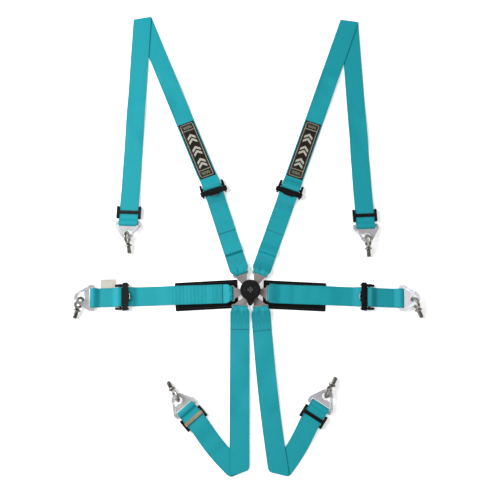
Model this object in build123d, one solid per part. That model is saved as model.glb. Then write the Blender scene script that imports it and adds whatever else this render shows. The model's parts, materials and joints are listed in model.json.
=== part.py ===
"""Six-strap racing harness with a rotary cam buckle, laid out flat on the ground.

Row frame: origin on the buckle's axis at ground level, +Y towards the shoulder straps, +Z up out
of the buckle's face, +X to the right of someone facing +Y. Millimetres.

Every strap is built in its own frame: S runs along the strap away from the buckle, V runs across
it, and Z is up. A strap's side profile is drawn in S and Z, then extruded across the webbing.
"""

import math
import os

from build123d import *

# Webbing
WEB_WIDTH = 50.0
WEB_T = 1.5
STACK_T = 2 * WEB_T
TONGUE_WEB_WIDTH = 36.0
SEWN_LENGTH = 30.0

# Buckle
BUCKLE_R = 26.0
BASE_T = 2.0
HOUSING_TOP = 15.0
POCKET_R = 23.0
POCKET_FLOOR = 10.7
CAVITY_R = 19.0
POST_R = 4.0
POST_TOP = 20.8
RUNNING_GAP = 0.1
PLUNGER_R = 2.8
PLUNGER_CIRCLE_R = 20.0
LATCH_Z = 11.6
LATCH_T = 1.4
LATCH_LIFT = 1.7
SCREW_CIRCLE_R = 22.5
SCREW_ANGLES = (23, 90, 157, 270)
KNOB_R = 26.6
KNOB_BOTTOM = 15.4
KNOB_TOP = 22.6
KNOB_POCKET_R = 12.0
KNOB_POCKET_TOP = 19.5
POINTER_LENGTH = 41.0

# Tongues
TONGUE_T = 3.0
TONGUE_Z = 8.0
BLADE_TIP = 12.0
BLADE_HALF = 8.0
HEAD_WIDTH = 42.0
HEAD_BAR = 5.0
HEAD_SLOT = 2.8
HEAD_WEB = 3.0
TONGUE_LOOP_R = 3.3

# Adjusters on the shoulder and lap straps
ADJ_BAR_S = 8.0
ADJ_BAR_Z = 7.5
ADJ_BAR_R = 3.2
ADJ_LOOP_R = 3.4
ADJ_HALF_LENGTH = 14.0
CHEEK_IN = 29.0
CHEEK_OUT = 33.5
CHEEK_BOTTOM = 0.2
CHEEK_TOP = 11.2
GUARD_V = 29.2
GUARD_T = 3.6
GUARD_END = 22.5
LEVER_HALF = 36.5
LEVER_Z = 13.2
LEVER_T = 2.5
LEVER_PIVOT_S = -1.5
LEVER_PIVOT_Z = 8.5
LEVER_PIN_R = 1.5

# Three-bar slides at the long ends
SLIDE_LENGTH = 34.0
SLIDE_HALF = 32.0
SLIDE_RAIL = 4.5
SLIDE_FROM_ANCHOR = 28.0
SLIDE_WEB_Z = 4.3

# Anchor plates, gates and eyebolts
PLATE_T = 3.0
PLATE_BAR_HALF = 3.8
PLATE_SLOT = 7.5
PLATE_HALF = 34.0
PLATE_SHOULDER_S = 14.0
ANCHOR_LOOP_R = 4.5
ANCHOR_Z = ANCHOR_LOOP_R + WEB_T
HOOK_S = 31.0
HOOK_HOLE_R = 9.5
HOOK_NOSE_R = 18.5
HOOK_TIP_ANGLE = 74.0
HOOK_HEEL_ANGLE = 128.0
GATE_PIVOT = (11.5, 27.5)
GATE_TIP = (34.5, 15.0)
GATE_T = 1.0
GATE_HALF = 3.5
RIVET_R = 2.2
EYE_R = 13.5
EYE_WIRE_R = 4.0
COLLAR_R = 9.5
COLLAR_X = 18.5
COLLAR_T = 4.0
THREAD_R = 5.55
THREAD_LENGTH = 20.0
BRIDGE_R = (HOOK_HOLE_R + HOOK_NOSE_R) / 2

# Sewn-on pieces
PAD_LENGTH = 164.0
PAD_WIDTH = 75.0
PAD_T = 2.4
PATCH_LENGTH = 168.0
PATCH_WIDTH = 44.0
PATCH_T = 0.8
PATCH_START = 40.0
LABEL_LENGTH = 43.0
LABEL_OUT = 24.0
LABEL_T = 0.5

# How each side lies. Angles are plan angles in degrees, anticlockwise from +X.
SIDES = ("left", "right")
SHOULDER = {
    "left": {
        "blade": 126.0, "loop": (-26.0, 46.0), "lower": 108.0, "lower_length": 238.0,
        "upper": 112.1, "upper_length": 548.0, "tail": 268.2, "tail_length": 598.0,
        "eye_yaw": 9.0, "eye_roll": 15.0, "gate_side": 1, "tail_on_top": True,
    },
    "right": {
        "blade": 54.0, "loop": (26.0, 46.0), "lower": 70.5, "lower_length": 238.0,
        "upper": 70.7, "upper_length": 531.0, "tail": 272.4, "tail_length": 598.0,
        "eye_yaw": 3.0, "eye_roll": -15.0, "gate_side": -1, "tail_on_top": False,
    },
}
LAP = {
    "left": {
        "blade": 188.0, "loop": (-49.0, -8.0), "strap": 181.8, "length": 281.0,
        "short_length": 78.0, "pad_angle": 183.2, "pad_centre": (-114.0, -12.0),
        "eye_yaw": 70.0, "eye_roll": 24.0, "gate_side": -1,
    },
    "right": {
        "blade": 352.0, "loop": (49.0, -8.0), "strap": 358.0, "length": 252.0,
        "short_length": 90.0, "pad_angle": 357.2, "pad_centre": (115.0, -13.0),
        "eye_yaw": -63.0, "eye_roll": -12.0, "gate_side": 1,
    },
}
CROTCH = {
    "left": {
        "blade": 240.0, "loop": (-27.0, -44.0), "strap": 270.0, "length": 412.0,
        "end": 131.1, "end_length": 203.0,
        "eye_yaw": -9.0, "eye_roll": 20.0, "gate_side": 1,
    },
    "right": {
        "blade": 300.0, "loop": (26.5, -46.0), "strap": 276.1, "length": 414.0,
        "end": 57.5, "end_length": 191.7,
        "eye_yaw": 2.0, "eye_roll": -25.0, "gate_side": -1,
    },
}
LAYOUTS = {"shoulder": SHOULDER, "lap": LAP, "crotch": CROTCH}
BLADE_ANGLES = [layout[side]["blade"] for layout in LAYOUTS.values() for side in SIDES]

# Heights where one run of webbing lies over another
FOLD_GAP = 0.5
OVER_Z = WEB_T + FOLD_GAP
FOLD_AXIS_Z = WEB_T + FOLD_GAP / 2
OVER_PAD_Z = PAD_T + 0.3
PAD_CLEAR_S = 160.0
FLOOR_CLEAR = 0.7


# ---------------------------------------------------------------- places


def along(point, angle, distance):
    """The plan point at a distance from point in the direction of angle."""
    a = math.radians(angle)
    return (point[0] + distance * math.cos(a), point[1] + distance * math.sin(a))


def frame_at(point, angle, z=0.0):
    """The place of a strap's own frame: S along angle, Z up."""
    return Location((point[0], point[1], z), (0, 0, angle))


def shoulder_points(side):
    """The adjuster's centre, the fold's centre and the anchor bar's centre."""
    d = SHOULDER[side]
    adjuster = along(d["loop"], d["lower"], d["lower_length"])
    fold = along(adjuster, d["upper"], d["upper_length"])
    return adjuster, fold, along(fold, d["tail"], d["tail_length"])


def lap_points(side):
    """The adjuster's centre and the anchor bar's centre."""
    d = LAP[side]
    adjuster = along(d["loop"], d["strap"], d["length"])
    return adjuster, along(adjuster, d["strap"], d["short_length"])


def crotch_points(side):
    """The fold's centre and the anchor bar's centre."""
    d = CROTCH[side]
    fold = along(d["loop"], d["strap"], d["length"])
    return fold, along(fold, d["end"], d["end_length"])


def anchor_end(strap, side):
    """The anchor bar's centre and the direction of the webbing that reaches it."""
    if strap == "shoulder":
        return shoulder_points(side)[2], SHOULDER[side]["tail"]
    if strap == "lap":
        return lap_points(side)[1], LAP[side]["strap"]
    return crotch_points(side)[1], CROTCH[side]["end"]


def fold_line(arriving, leaving):
    """The plan angle of the line a strap folds on, so that arriving turns into leaving."""
    a, b = math.radians(arriving), math.radians(leaving)
    x, y = math.cos(a) + math.cos(b), math.sin(a) + math.sin(b)
    return math.degrees(math.atan2(y, x))


def eye_height(roll):
    """The height of an eyebolt's ring centre when its ring leans by roll, just clear of the ground."""
    return EYE_R * math.cos(math.radians(roll)) + EYE_WIRE_R + 0.15


def plate_place(strap, side):
    """The place of an anchor plate: its nose rides up on the eyebolt's ring."""
    d = LAYOUTS[strap][side]
    point, angle = anchor_end(strap, side)
    reach = HOOK_S + BRIDGE_R * math.cos(math.radians(d["eye_yaw"]))
    tilt = math.degrees(math.asin((eye_height(d["eye_roll"]) - ANCHOR_Z) / reach))
    return frame_at(point, angle, ANCHOR_Z) * Location((0, 0, 0), (0, -tilt, 0))


def eyebolt_place(strap, side):
    """The place of an eyebolt: origin at the ring's centre, X along the shank, Y on the ring's axis."""
    d = LAYOUTS[strap][side]
    yaw = math.radians(d["eye_yaw"])
    bridge = (HOOK_S + BRIDGE_R * math.cos(yaw), BRIDGE_R * math.sin(yaw), 0)
    centre = (plate_place(strap, side) * Location(bridge)).position
    reach = COLLAR_X + COLLAR_T + THREAD_LENGTH
    droop = math.degrees(math.asin((centre.Z - THREAD_R) / reach))
    heading = anchor_end(strap, side)[1] + d["eye_yaw"]
    turn = Location((0, 0, 0), (0, droop, 0)) * Location((0, 0, 0), (d["eye_roll"], 0, 0))
    return Location(centre, (0, 0, heading)) * turn


# ---------------------------------------------------------------- webbing profiles


def layer(s0, z0, s1, z1, thickness=WEB_T):
    """A layer of webbing in the side profile, from s0 to s1, with its underside at z0 and z1."""
    corners = ((s0, z0), (s1, z1), (s1, z1 + thickness), (s0, z0 + thickness))
    return Polygon(*corners, align=None)


def bight(s, z, inner, side):
    """The half turn of webbing round a bar at s, z. side is +1 if it wraps the bar's far side."""
    outer = inner + WEB_T
    align = Align.MIN if side > 0 else Align.MAX
    half = Rectangle(2 * outer, 3 * outer, align=(align, Align.CENTER))
    return Pos(s, z) * ((Circle(outer) - Circle(inner)) & half)


def loop_from(s, z, inner, stack_z, length):
    """A sewn loop round a bar at s, whose two layers close up into a stack after length."""
    outer = inner + WEB_T
    top = layer(s, z + inner, s + length, stack_z + WEB_T)
    bottom = layer(s, z - outer, s + length, stack_z)
    return bight(s, z, inner, -1) + top + bottom


def loop_to(s, z, inner, stack_z, length):
    """The same at the far end: the stack opens into a loop round the bar at s."""
    outer = inner + WEB_T
    top = layer(s - length, stack_z + WEB_T, s, z + inner)
    bottom = layer(s - length, stack_z, s, z - outer)
    return bight(s, z, inner, 1) + top + bottom


def across(profile, width=WEB_WIDTH):
    """A side profile extruded across the webbing."""
    return extrude(Plane.XZ * profile, amount=width / 2, both=True)


def narrowed(strap, length):
    """The strap with its end drawn in to pass the tongue's slot at s 0."""
    half, slim = WEB_WIDTH / 2 + 1, TONGUE_WEB_WIDTH / 2
    start, spread = -TONGUE_LOOP_R * 3, 16.0
    outline = Polygon(
        (start, -slim), (3, -slim), (spread, -half), (length, -half),
        (length, half), (spread, half), (3, slim), (start, slim), align=None,
    )
    return strap & extrude(outline, amount=60, both=True)


def beyond_fold(point, arriving, leaving, gap):
    """A block that covers everything past the fold line, less gap."""
    inward = fold_line(arriving, leaving)
    side = math.sin(math.radians(arriving - inward))
    place = frame_at(point, inward)
    block = Box(300, 200, 60, align=(Align.CENTER, Align.MIN if side > 0 else Align.MAX, Align.CENTER))
    return place * Pos(0, gap * math.copysign(1, side), 0) * block


# ---------------------------------------------------------------- straps


def shoulder_lower_strap(side):
    """From the tongue to the adjuster's inner bar, plus the upper strap's turn round the outer bar."""
    d = SHOULDER[side]
    bar = d["lower_length"] - ADJ_BAR_S
    profile = loop_from(0, TONGUE_Z, TONGUE_LOOP_R, 0, SEWN_LENGTH)
    profile += layer(SEWN_LENGTH, 0, bar - SEWN_LENGTH, 0, STACK_T)
    profile += loop_to(bar, ADJ_BAR_Z, ADJ_LOOP_R, 0, SEWN_LENGTH)
    strap = narrowed(across(profile), d["lower_length"])
    turn = across(bight(d["lower_length"] + ADJ_BAR_S, ADJ_BAR_Z, ADJ_LOOP_R, -1))
    return frame_at(d["loop"], d["lower"]) * Compound(children=[*strap.solids(), *turn.solids()])


def shoulder_upper_strap(side):
    """The long run up from the adjuster to the fold, with its loose end lying under it."""
    d = SHOULDER[side]
    adjuster, fold, _ = shoulder_points(side)
    start, closed, loose_end, settled = ADJ_BAR_S + 2, 60.0, 180.0, 200.0
    end = d["upper_length"] + WEB_WIDTH
    profile = layer(start, ADJ_BAR_Z + ADJ_LOOP_R, closed, WEB_T)
    profile += layer(start, ADJ_BAR_Z - ADJ_LOOP_R - WEB_T, closed, 0)
    profile += layer(closed, 0, loose_end, 0, STACK_T)
    if d["tail_on_top"]:
        profile += layer(loose_end, WEB_T, settled, 0) + layer(settled, 0, end, 0)
    else:
        rise, level = end - 260, end - 220
        profile += layer(loose_end, WEB_T, settled, 0) + layer(settled, 0, rise, 0)
        profile += layer(rise, 0, level, OVER_Z) + layer(level, OVER_Z, end, OVER_Z)
    strap = frame_at(adjuster, d["upper"]) * across(profile)
    return strap - beyond_fold(fold, d["upper"], d["tail"], 0)


def anchor_run(length, first_z, lowered):
    """Profile of the webbing from first_z at s 0 to the anchor bar at s length, through the slide."""
    slide = length - SLIDE_FROM_ANCHOR
    raised, floor_s = slide - SLIDE_LENGTH / 2 - 4, slide - 70
    loose_end = slide - 130
    profile = layer(-WEB_WIDTH, first_z, lowered, first_z)
    if first_z > 0:
        profile += layer(lowered, first_z, lowered + 60, 0)
        profile += layer(lowered + 60, 0, loose_end - 20, 0)
    else:
        profile += layer(lowered, 0, loose_end - 20, 0)
    profile += layer(loose_end - 20, 0, loose_end, WEB_T)
    profile += layer(loose_end, 0, floor_s, 0, STACK_T)
    profile += layer(floor_s, 0, raised, SLIDE_WEB_Z, STACK_T)
    opened = length - 11
    profile += layer(raised, SLIDE_WEB_Z, opened, SLIDE_WEB_Z, STACK_T)
    return profile + loop_to(length, ANCHOR_Z, ANCHOR_LOOP_R, SLIDE_WEB_Z, length - opened)


def shoulder_tail_strap(side):
    """The run from the fold back down to the anchor plate."""
    d = SHOULDER[side]
    fold = shoulder_points(side)[1]
    profile = anchor_run(d["tail_length"], OVER_Z if d["tail_on_top"] else 0.0, 150.0)
    strap = frame_at(fold, d["tail"]) * across(profile)
    return strap - beyond_fold(fold, d["upper"], d["tail"], 0)


def lap_strap(side):
    """From the tongue, over the pad, to the adjuster's inner bar, with its loose end under it."""
    d = LAP[side]
    end = d["length"] - ADJ_BAR_S - 1
    off_pad, floor_s = PAD_CLEAR_S, PAD_CLEAR_S + 38
    profile = loop_from(0, TONGUE_Z, TONGUE_LOOP_R, OVER_PAD_Z, SEWN_LENGTH)
    profile += layer(SEWN_LENGTH, OVER_PAD_Z, off_pad, OVER_PAD_Z, STACK_T)
    profile += layer(off_pad, OVER_PAD_Z, floor_s, FLOOR_CLEAR, STACK_T)
    profile += layer(floor_s, FLOOR_CLEAR, end - SEWN_LENGTH, FLOOR_CLEAR, STACK_T)
    profile += layer(end - SEWN_LENGTH, FLOOR_CLEAR + WEB_T, end, ADJ_BAR_Z + ADJ_LOOP_R)
    profile += layer(end - SEWN_LENGTH, FLOOR_CLEAR, end, ADJ_BAR_Z - ADJ_LOOP_R - WEB_T)
    return frame_at(d["loop"], d["strap"]) * narrowed(across(profile), d["length"])


def lap_short_strap(side):
    """The sewn loop from the adjuster's outer bar to the anchor, plus the lap strap's turn."""
    d = LAP[side]
    adjuster = lap_points(side)[0]
    closed, open_again = ADJ_BAR_S + 30, d["short_length"] - 18
    profile = loop_from(ADJ_BAR_S, ADJ_BAR_Z, ADJ_LOOP_R, FLOOR_CLEAR, 30)
    profile += layer(closed, FLOOR_CLEAR, open_again, FLOOR_CLEAR, STACK_T)
    profile += loop_to(d["short_length"], ANCHOR_Z, ANCHOR_LOOP_R, FLOOR_CLEAR, 18)
    turn = bight(-ADJ_BAR_S, ADJ_BAR_Z, ADJ_LOOP_R, 1)
    solids = [*across(profile).solids(), *across(turn).solids()]
    return frame_at(adjuster, d["strap"]) * Compound(children=solids)


def crotch_strap(side):
    """Down from the tongue to the fold and back up, under itself, to the anchor plate."""
    d = CROTCH[side]
    fold, _ = crotch_points(side)
    rise, level = d["length"] - 160, d["length"] - 110
    profile = loop_from(0, TONGUE_Z, TONGUE_LOOP_R, 0, 2 * SEWN_LENGTH)
    profile += layer(2 * SEWN_LENGTH, 0, 90, 0, STACK_T) + layer(90, 0, rise, 0)
    profile += layer(rise, 0, level, OVER_Z) + layer(level, OVER_Z, d["length"] + 60, OVER_Z)
    block = beyond_fold(fold, d["strap"], d["end"], 0)
    down = frame_at(d["loop"], d["strap"]) * narrowed(across(profile), d["length"] + 60) - block
    up = frame_at(fold, d["end"]) * across(anchor_run(d["end_length"], 0.0, 30.0)) - block
    return down + up + crotch_fold(fold, d["strap"], d["end"])


def crotch_fold(point, arriving, leaving):
    """The tight turn of webbing along the fold line, joining the run above to the run below."""
    inward = fold_line(arriving, leaving)
    outer = OVER_Z / 2 + WEB_T / 2
    crossing = math.radians(arriving - inward)
    length = WEB_WIDTH / abs(math.sin(crossing)) - 2 * WEB_T
    side = math.copysign(1, math.sin(crossing))
    half = Rectangle(4 * outer, 4 * outer, align=(Align.MIN if side > 0 else Align.MAX, Align.CENTER))
    ring = (Circle(outer) - Circle(outer - WEB_T)) & half
    turn = extrude(Plane.YZ * ring, amount=length / 2, both=True)
    return frame_at(point, inward, outer) * turn


# ---------------------------------------------------------------- buckle


def blade_outline(clearance=0.0):
    """A tongue's blade in plan, from its slim tip out past the buckle's rim."""
    half, slim = BLADE_HALF + clearance, BLADE_HALF - 3 + clearance
    tip, wide, end = BLADE_TIP - clearance, BLADE_TIP + 6.5, BUCKLE_R + 8
    points = ((tip, -slim), (wide, -half), (end, -half), (end, half), (wide, half), (tip, slim))
    return Polygon(*points, align=None)


def buckle_housing():
    """The cast body: six tongue slots below, a round pocket for the latch above."""
    body = Pos(0, 0, BASE_T) * Cylinder(
        BUCKLE_R, HOUSING_TOP - BASE_T, align=(Align.CENTER, Align.CENTER, Align.MIN)
    )
    body = fillet(body.edges().group_by(Axis.Z)[-1], 1.0)
    slot_z, slot_t = TONGUE_Z - TONGUE_T / 2 - 0.3, TONGUE_T + 0.6
    slots = extrude(blade_outline(0.4), amount=slot_t)
    for angle in BLADE_ANGLES:
        body -= Location((0, 0, slot_z), (0, 0, angle)) * slots
        spot = along((0, 0), angle, PLUNGER_CIRCLE_R)
        body -= Pos(*spot, POCKET_FLOOR) * Cylinder(PLUNGER_R + 0.3, 3)
    low = (Align.CENTER, Align.CENTER, Align.MIN)
    body -= Pos(0, 0, slot_z) * Cylinder(CAVITY_R, slot_t, align=low)
    body -= Pos(0, 0, POCKET_FLOOR) * Cylinder(POCKET_R, 10, align=low)
    body -= Pos(0, 0, BASE_T) * Cylinder(POST_R + RUNNING_GAP, 30, align=low)
    for angle in SCREW_ANGLES:
        spot = along((0, 0), angle, SCREW_CIRCLE_R)
        body -= Pos(*spot, BASE_T) * Cylinder(1.3, 5.6, align=low)
    return body


def screw_shape(extra=0.0):
    """A countersunk screw standing on its head, enlarged by extra to cut its hole."""
    low = (Align.CENTER, Align.CENTER, Align.MIN)
    head = Cone(2.3 + extra, 1.25 + extra, 1.2, align=low)
    return head + Cylinder(1.25 + extra, 7.4, align=low)


def buckle_screws():
    """The four screws that hold the base plate to the housing."""
    screws = [Pos(*along((0, 0), a, SCREW_CIRCLE_R), 0) * screw_shape() for a in SCREW_ANGLES]
    return Compound(children=[s.solids()[0] for s in screws])


def buckle_base_plate():
    """The round back plate, and the post the lever turns on."""
    low = (Align.CENTER, Align.CENTER, Align.MIN)
    plate = Cylinder(BUCKLE_R, BASE_T, align=low)
    plate = chamfer(plate.edges().group_by(Axis.Z)[0], 0.5)
    for angle in SCREW_ANGLES:
        plate -= Pos(*along((0, 0), angle, SCREW_CIRCLE_R), 0) * screw_shape(0.05)
    post = Pos(0, 0, BASE_T) * Cylinder(POST_R, POST_TOP - BASE_T, align=low)
    return Compound(children=[*plate.solids(), *post.solids()])


def latch_plungers():
    """The lifting plate that carries one locking plunger for each tongue."""
    low = (Align.CENTER, Align.CENTER, Align.MIN)
    plate = Pos(0, 0, LATCH_Z) * (
        Cylinder(POCKET_R - 0.5, LATCH_T, align=low) - Cylinder(7.3, LATCH_T, align=low)
    )
    tip_z = TONGUE_Z + TONGUE_T / 2 + 0.3
    for angle in BLADE_ANGLES:
        spot = along((0, 0), angle, PLUNGER_CIRCLE_R)
        pin = Cylinder(PLUNGER_R, LATCH_Z + LATCH_T - tip_z, align=low)
        plate += Pos(*spot, tip_z) * pin
    for angle in (0, 120, 240):
        plate -= Location((0, 0, LATCH_Z), (0, 0, angle)) * cam_window()
    return plate


def cam_window():
    """An arc slot in the lifting plate that a cam lug runs in."""
    low = (Align.CENTER, Align.CENTER, Align.MIN)
    ring = Cylinder(11.2, 4, align=low) - Cylinder(7.2, 4, align=low)
    sector = Polygon((0, 0), (30, -4), (36, 30), (14, 34), align=None)
    return ring & extrude(sector, amount=4)


def cam_ring():
    """The lever's sleeve, with a flange under the lifting plate and three cam lugs."""
    low = (Align.CENTER, Align.CENTER, Align.MIN)
    base = POCKET_FLOOR + 0.2
    ring = Pos(0, 0, base) * Cylinder(6.8, KNOB_POCKET_TOP - base, align=low)
    ring += Pos(0, 0, base) * Cylinder(11.0, 0.5, align=low)
    lug = Pos(9.0, 0.8, base) * Box(3.0, 2.0, 1.6, align=low)
    for angle in (0, 120, 240):
        ring += Location((0, 0, 0), (0, 0, angle)) * lug
    return ring - Cylinder(POST_R + RUNNING_GAP, 60)


def latch_spring():
    """The coil that pushes the lifting plate down, in the pocket under the knob."""
    wire_r, coil_r, pitch = 0.6, 9.5, 1.7
    bottom, height = LATCH_Z + LATCH_T + wire_r + 0.1, 5.0
    path = Helix(pitch=pitch, height=height, radius=coil_r)
    start = path @ 0
    wire = Plane(origin=start, z_dir=path % 0) * Circle(wire_r)
    return Pos(0, 0, bottom) * sweep(wire, path=path)


def rotary_lever():
    """The round turning knob with its pointer, which stands out over the crotch straps."""
    low = (Align.CENTER, Align.CENTER, Align.MIN)
    disc = Pos(0, 0, KNOB_BOTTOM) * Cylinder(KNOB_R, KNOB_TOP - KNOB_BOTTOM, align=low)
    disc = fillet(disc.edges().group_by(Axis.Z)[-1], 2.4)
    outline = make_hull((Circle(KNOB_R - 6) + Pos(0, 6 - POINTER_LENGTH) * Circle(6)).edges())
    pointer = extrude(outline, amount=5.6)
    pointer = fillet(pointer.edges().group_by(Axis.Z)[-1], 1.6)
    knob = disc + Pos(0, 0, KNOB_BOTTOM) * pointer
    ring = Cylinder(17.0, 1.0, align=low) - Cylinder(15.4, 1.0, align=low)
    knob -= Pos(0, 0, KNOB_TOP - 0.8) * ring
    knob -= Pos(0, 0, KNOB_BOTTOM) * Cylinder(KNOB_POCKET_R, KNOB_POCKET_TOP - KNOB_BOTTOM, align=low)
    return knob - Pos(0, 0, KNOB_BOTTOM) * Cylinder(
        POST_R + RUNNING_GAP, POST_TOP + 0.3 - KNOB_BOTTOM, align=low
    )


def tongue(strap, side):
    """A steel tongue: blade in the buckle, neck, and a slotted head square to its strap."""
    d = LAYOUTS[strap][side]
    angle = d["strap"] if strap != "shoulder" else d["lower"]
    blade = Location((0, 0, 0), (0, 0, d["blade"])) * blade_outline()
    inner, outer = HEAD_SLOT + HEAD_WEB + HEAD_BAR / 2, HEAD_BAR / 2
    place = frame_at(d["loop"], angle)
    head = Pos((outer - inner) / 2, 0) * RectangleRounded(inner + outer, HEAD_WIDTH, 5.0)
    neck_end = [(place * Pos(2 - inner, v * (HEAD_WIDTH / 2 - 5))).position for v in (-1, 1)]
    turn = Location((0, 0, 0), (0, 0, d["blade"]))
    neck_start = [(turn * Pos(BUCKLE_R + 1, v * BLADE_HALF)).position for v in (1, -1)]
    neck = Polygon(*[(p.X, p.Y) for p in neck_end + neck_start], align=None)
    outline = blade + (place * head) + neck
    slot_s = -(HEAD_BAR / 2 + HEAD_SLOT / 2)
    slot = Pos(slot_s, 0) * RectangleRounded(HEAD_SLOT, TONGUE_WEB_WIDTH + 2, 1.3)
    outline -= place * slot
    outline -= Pos(*along((0, 0), d["blade"], PLUNGER_CIRCLE_R)) * Circle(PLUNGER_R + 0.4)
    return Pos(0, 0, TONGUE_Z - TONGUE_T / 2) * extrude(outline, amount=TONGUE_T)


# ---------------------------------------------------------------- adjusters and slides


def adjuster_place(strap, side):
    """The place of an adjuster: S away from the buckle, origin at its centre."""
    point = shoulder_points(side)[0] if strap == "shoulder" else lap_points(side)[0]
    return frame_at(point, LAYOUTS[strap][side]["lower" if strap == "shoulder" else "strap"])


def adjuster_frame(strap, side):
    """Two cheeks joined by a strip underneath, a tie bar and the two bars the webbing goes round.

    A low guard runs on from each cheek beside the turn of webbing.
    """
    half = ADJ_HALF_LENGTH
    cheek_middle = (CHEEK_BOTTOM + CHEEK_TOP) / 2
    cheek = Pos(0, cheek_middle) * RectangleRounded(2 * half, CHEEK_TOP - CHEEK_BOTTOM, 3.0)
    pin_hole = Pos(LEVER_PIVOT_S, LEVER_PIVOT_Z) * Circle(LEVER_PIN_R + 0.08)
    cheek_solid = extrude(Plane.XZ * (cheek - pin_hole), amount=CHEEK_OUT - CHEEK_IN)
    frame = Pos(0, -CHEEK_IN, 0) * cheek_solid + Pos(0, CHEEK_OUT, 0) * cheek_solid
    frame += Pos(0, 0, 1.0) * Box(6, 2 * CHEEK_OUT, 1.6)
    frame += Pos(1.4, 0, 9.6) * Box(2.2, 2 * CHEEK_OUT, 2.0)
    for s in (-ADJ_BAR_S, ADJ_BAR_S):
        frame += Pos(s, 0, ADJ_BAR_Z) * Rot(90, 0, 0) * Cylinder(ADJ_BAR_R, 2 * CHEEK_OUT)
    guard = Pos(GUARD_END - 8, 4.6) * RectangleRounded(16, 6.8, 3.0)
    guard_solid = extrude(Plane.XZ * guard, amount=GUARD_T / 2, both=True)
    frame += Pos(0, -GUARD_V, 0) * guard_solid + Pos(0, GUARD_V, 0) * guard_solid
    return adjuster_place(strap, side) * frame


def adjuster_lever(strap, side):
    """The release plate over the frame, with a thumb lip towards the buckle and two pivot pins."""
    outer_s, inner_s, lip_r, lip_centre = LEVER_PIVOT_S, -13.0, 28.0, 10.0
    middle = (outer_s + inner_s) / 2
    top = Pos(middle, 0) * RectangleRounded(outer_s - inner_s, 2 * LEVER_HALF, 2.5)
    lip = Pos(lip_centre, 0) * Circle(lip_r)
    lip &= Pos(outer_s, 0) * Rectangle(60, 60, align=(Align.MAX, Align.CENTER))
    plate = Pos(0, 0, LEVER_Z) * extrude(top + lip, amount=LEVER_T)
    ear = Pos(LEVER_PIVOT_S, LEVER_PIVOT_Z) * Circle(3.4)
    ear += Pos(LEVER_PIVOT_S - 1, (LEVER_PIVOT_Z + LEVER_Z + LEVER_T) / 2) * Rectangle(
        4.8, LEVER_Z + LEVER_T - LEVER_PIVOT_Z
    )
    ear_solid = extrude(Plane.XZ * ear, amount=LEVER_HALF - CHEEK_OUT - 0.3)
    lever = plate + Pos(0, LEVER_HALF, 0) * ear_solid + Pos(0, -CHEEK_OUT - 0.3, 0) * ear_solid
    pin_length = LEVER_HALF - CHEEK_IN - 0.3
    for v in (-1, 1):
        pin = Rot(90, 0, 0) * Cylinder(LEVER_PIN_R, pin_length)
        lever += Pos(LEVER_PIVOT_S, v * (LEVER_HALF - pin_length / 2 - 0.1), LEVER_PIVOT_Z) * pin
    return adjuster_place(strap, side) * lever


def three_bar_slide(strap, side):
    """Two rails, two end bars under the webbing and a middle bar over it."""
    rail_height, low_z = 10.5, 0.8
    middle_z = SLIDE_WEB_Z + STACK_T + 0.3
    face = Pos(0, low_z + rail_height / 2) * RectangleRounded(SLIDE_LENGTH, rail_height, 4.0)
    rail = extrude(Plane.XZ * face, amount=SLIDE_RAIL / 2, both=True)
    rail_v = SLIDE_HALF - SLIDE_RAIL / 2
    slide = Pos(0, -rail_v, 0) * rail + Pos(0, rail_v, 0) * rail
    span = 2 * SLIDE_HALF - SLIDE_RAIL
    for s in (-1, 1):
        bar = Box(6.0, span, SLIDE_WEB_Z - 0.3 - low_z, align=(Align.CENTER, Align.CENTER, Align.MIN))
        slide += Pos(s * (SLIDE_LENGTH / 2 - 3.5), 0, low_z) * bar
    bar = Box(9.0, span, 3.0, align=(Align.CENTER, Align.CENTER, Align.MIN))
    slide += Pos(0, 0, middle_z) * bar
    point, angle = anchor_end(strap, side)
    return frame_at(along(point, angle, -SLIDE_FROM_ANCHOR), angle) * slide


# ---------------------------------------------------------------- anchors


def anchor_plate(strap, side):
    """The clip-in plate: webbing bar and slot, hook with an open mouth, and the gate's rivet."""
    gate_side = LAYOUTS[strap][side]["gate_side"]
    width = PLATE_SHOULDER_S + PLATE_BAR_HALF
    base = Pos((PLATE_SHOULDER_S - PLATE_BAR_HALF) / 2, 0) * RectangleRounded(width, 2 * PLATE_HALF, 5.0)
    nose = Pos(HOOK_S, 0) * Circle(HOOK_NOSE_R)
    outline = make_hull([*base.edges(), *nose.edges()])
    outline -= Pos(PLATE_BAR_HALF + PLATE_SLOT / 2, 0) * RectangleRounded(PLATE_SLOT, WEB_WIDTH + 3.5, 1.5)
    outline -= Pos(HOOK_S, 0) * Circle(HOOK_HOLE_R)
    outline -= hook_mouth(gate_side)
    pivot = (GATE_PIVOT[0], gate_side * GATE_PIVOT[1])
    outline -= Pos(*pivot) * Circle(RIVET_R + 0.05)
    plate = Pos(0, 0, -PLATE_T / 2) * extrude(outline, amount=PLATE_T)
    low = (Align.CENTER, Align.CENTER, Align.MIN)
    rivet_bottom, rivet_top = -PLATE_T / 2 - 0.05, PLATE_T / 2 + 0.05 + GATE_T + 0.05
    rivet = Pos(*pivot, rivet_bottom - 0.7) * Cylinder(RIVET_R, rivet_top - rivet_bottom + 1.4, align=low)
    rivet += Pos(*pivot, rivet_bottom - 0.7) * Cylinder(3.4, 0.7, align=low)
    rivet += Pos(*pivot, rivet_top) * Cylinder(3.4, 0.8, align=low)
    place = plate_place(strap, side)
    return place * Compound(children=[*plate.solids(), *rivet.solids()])


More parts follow.
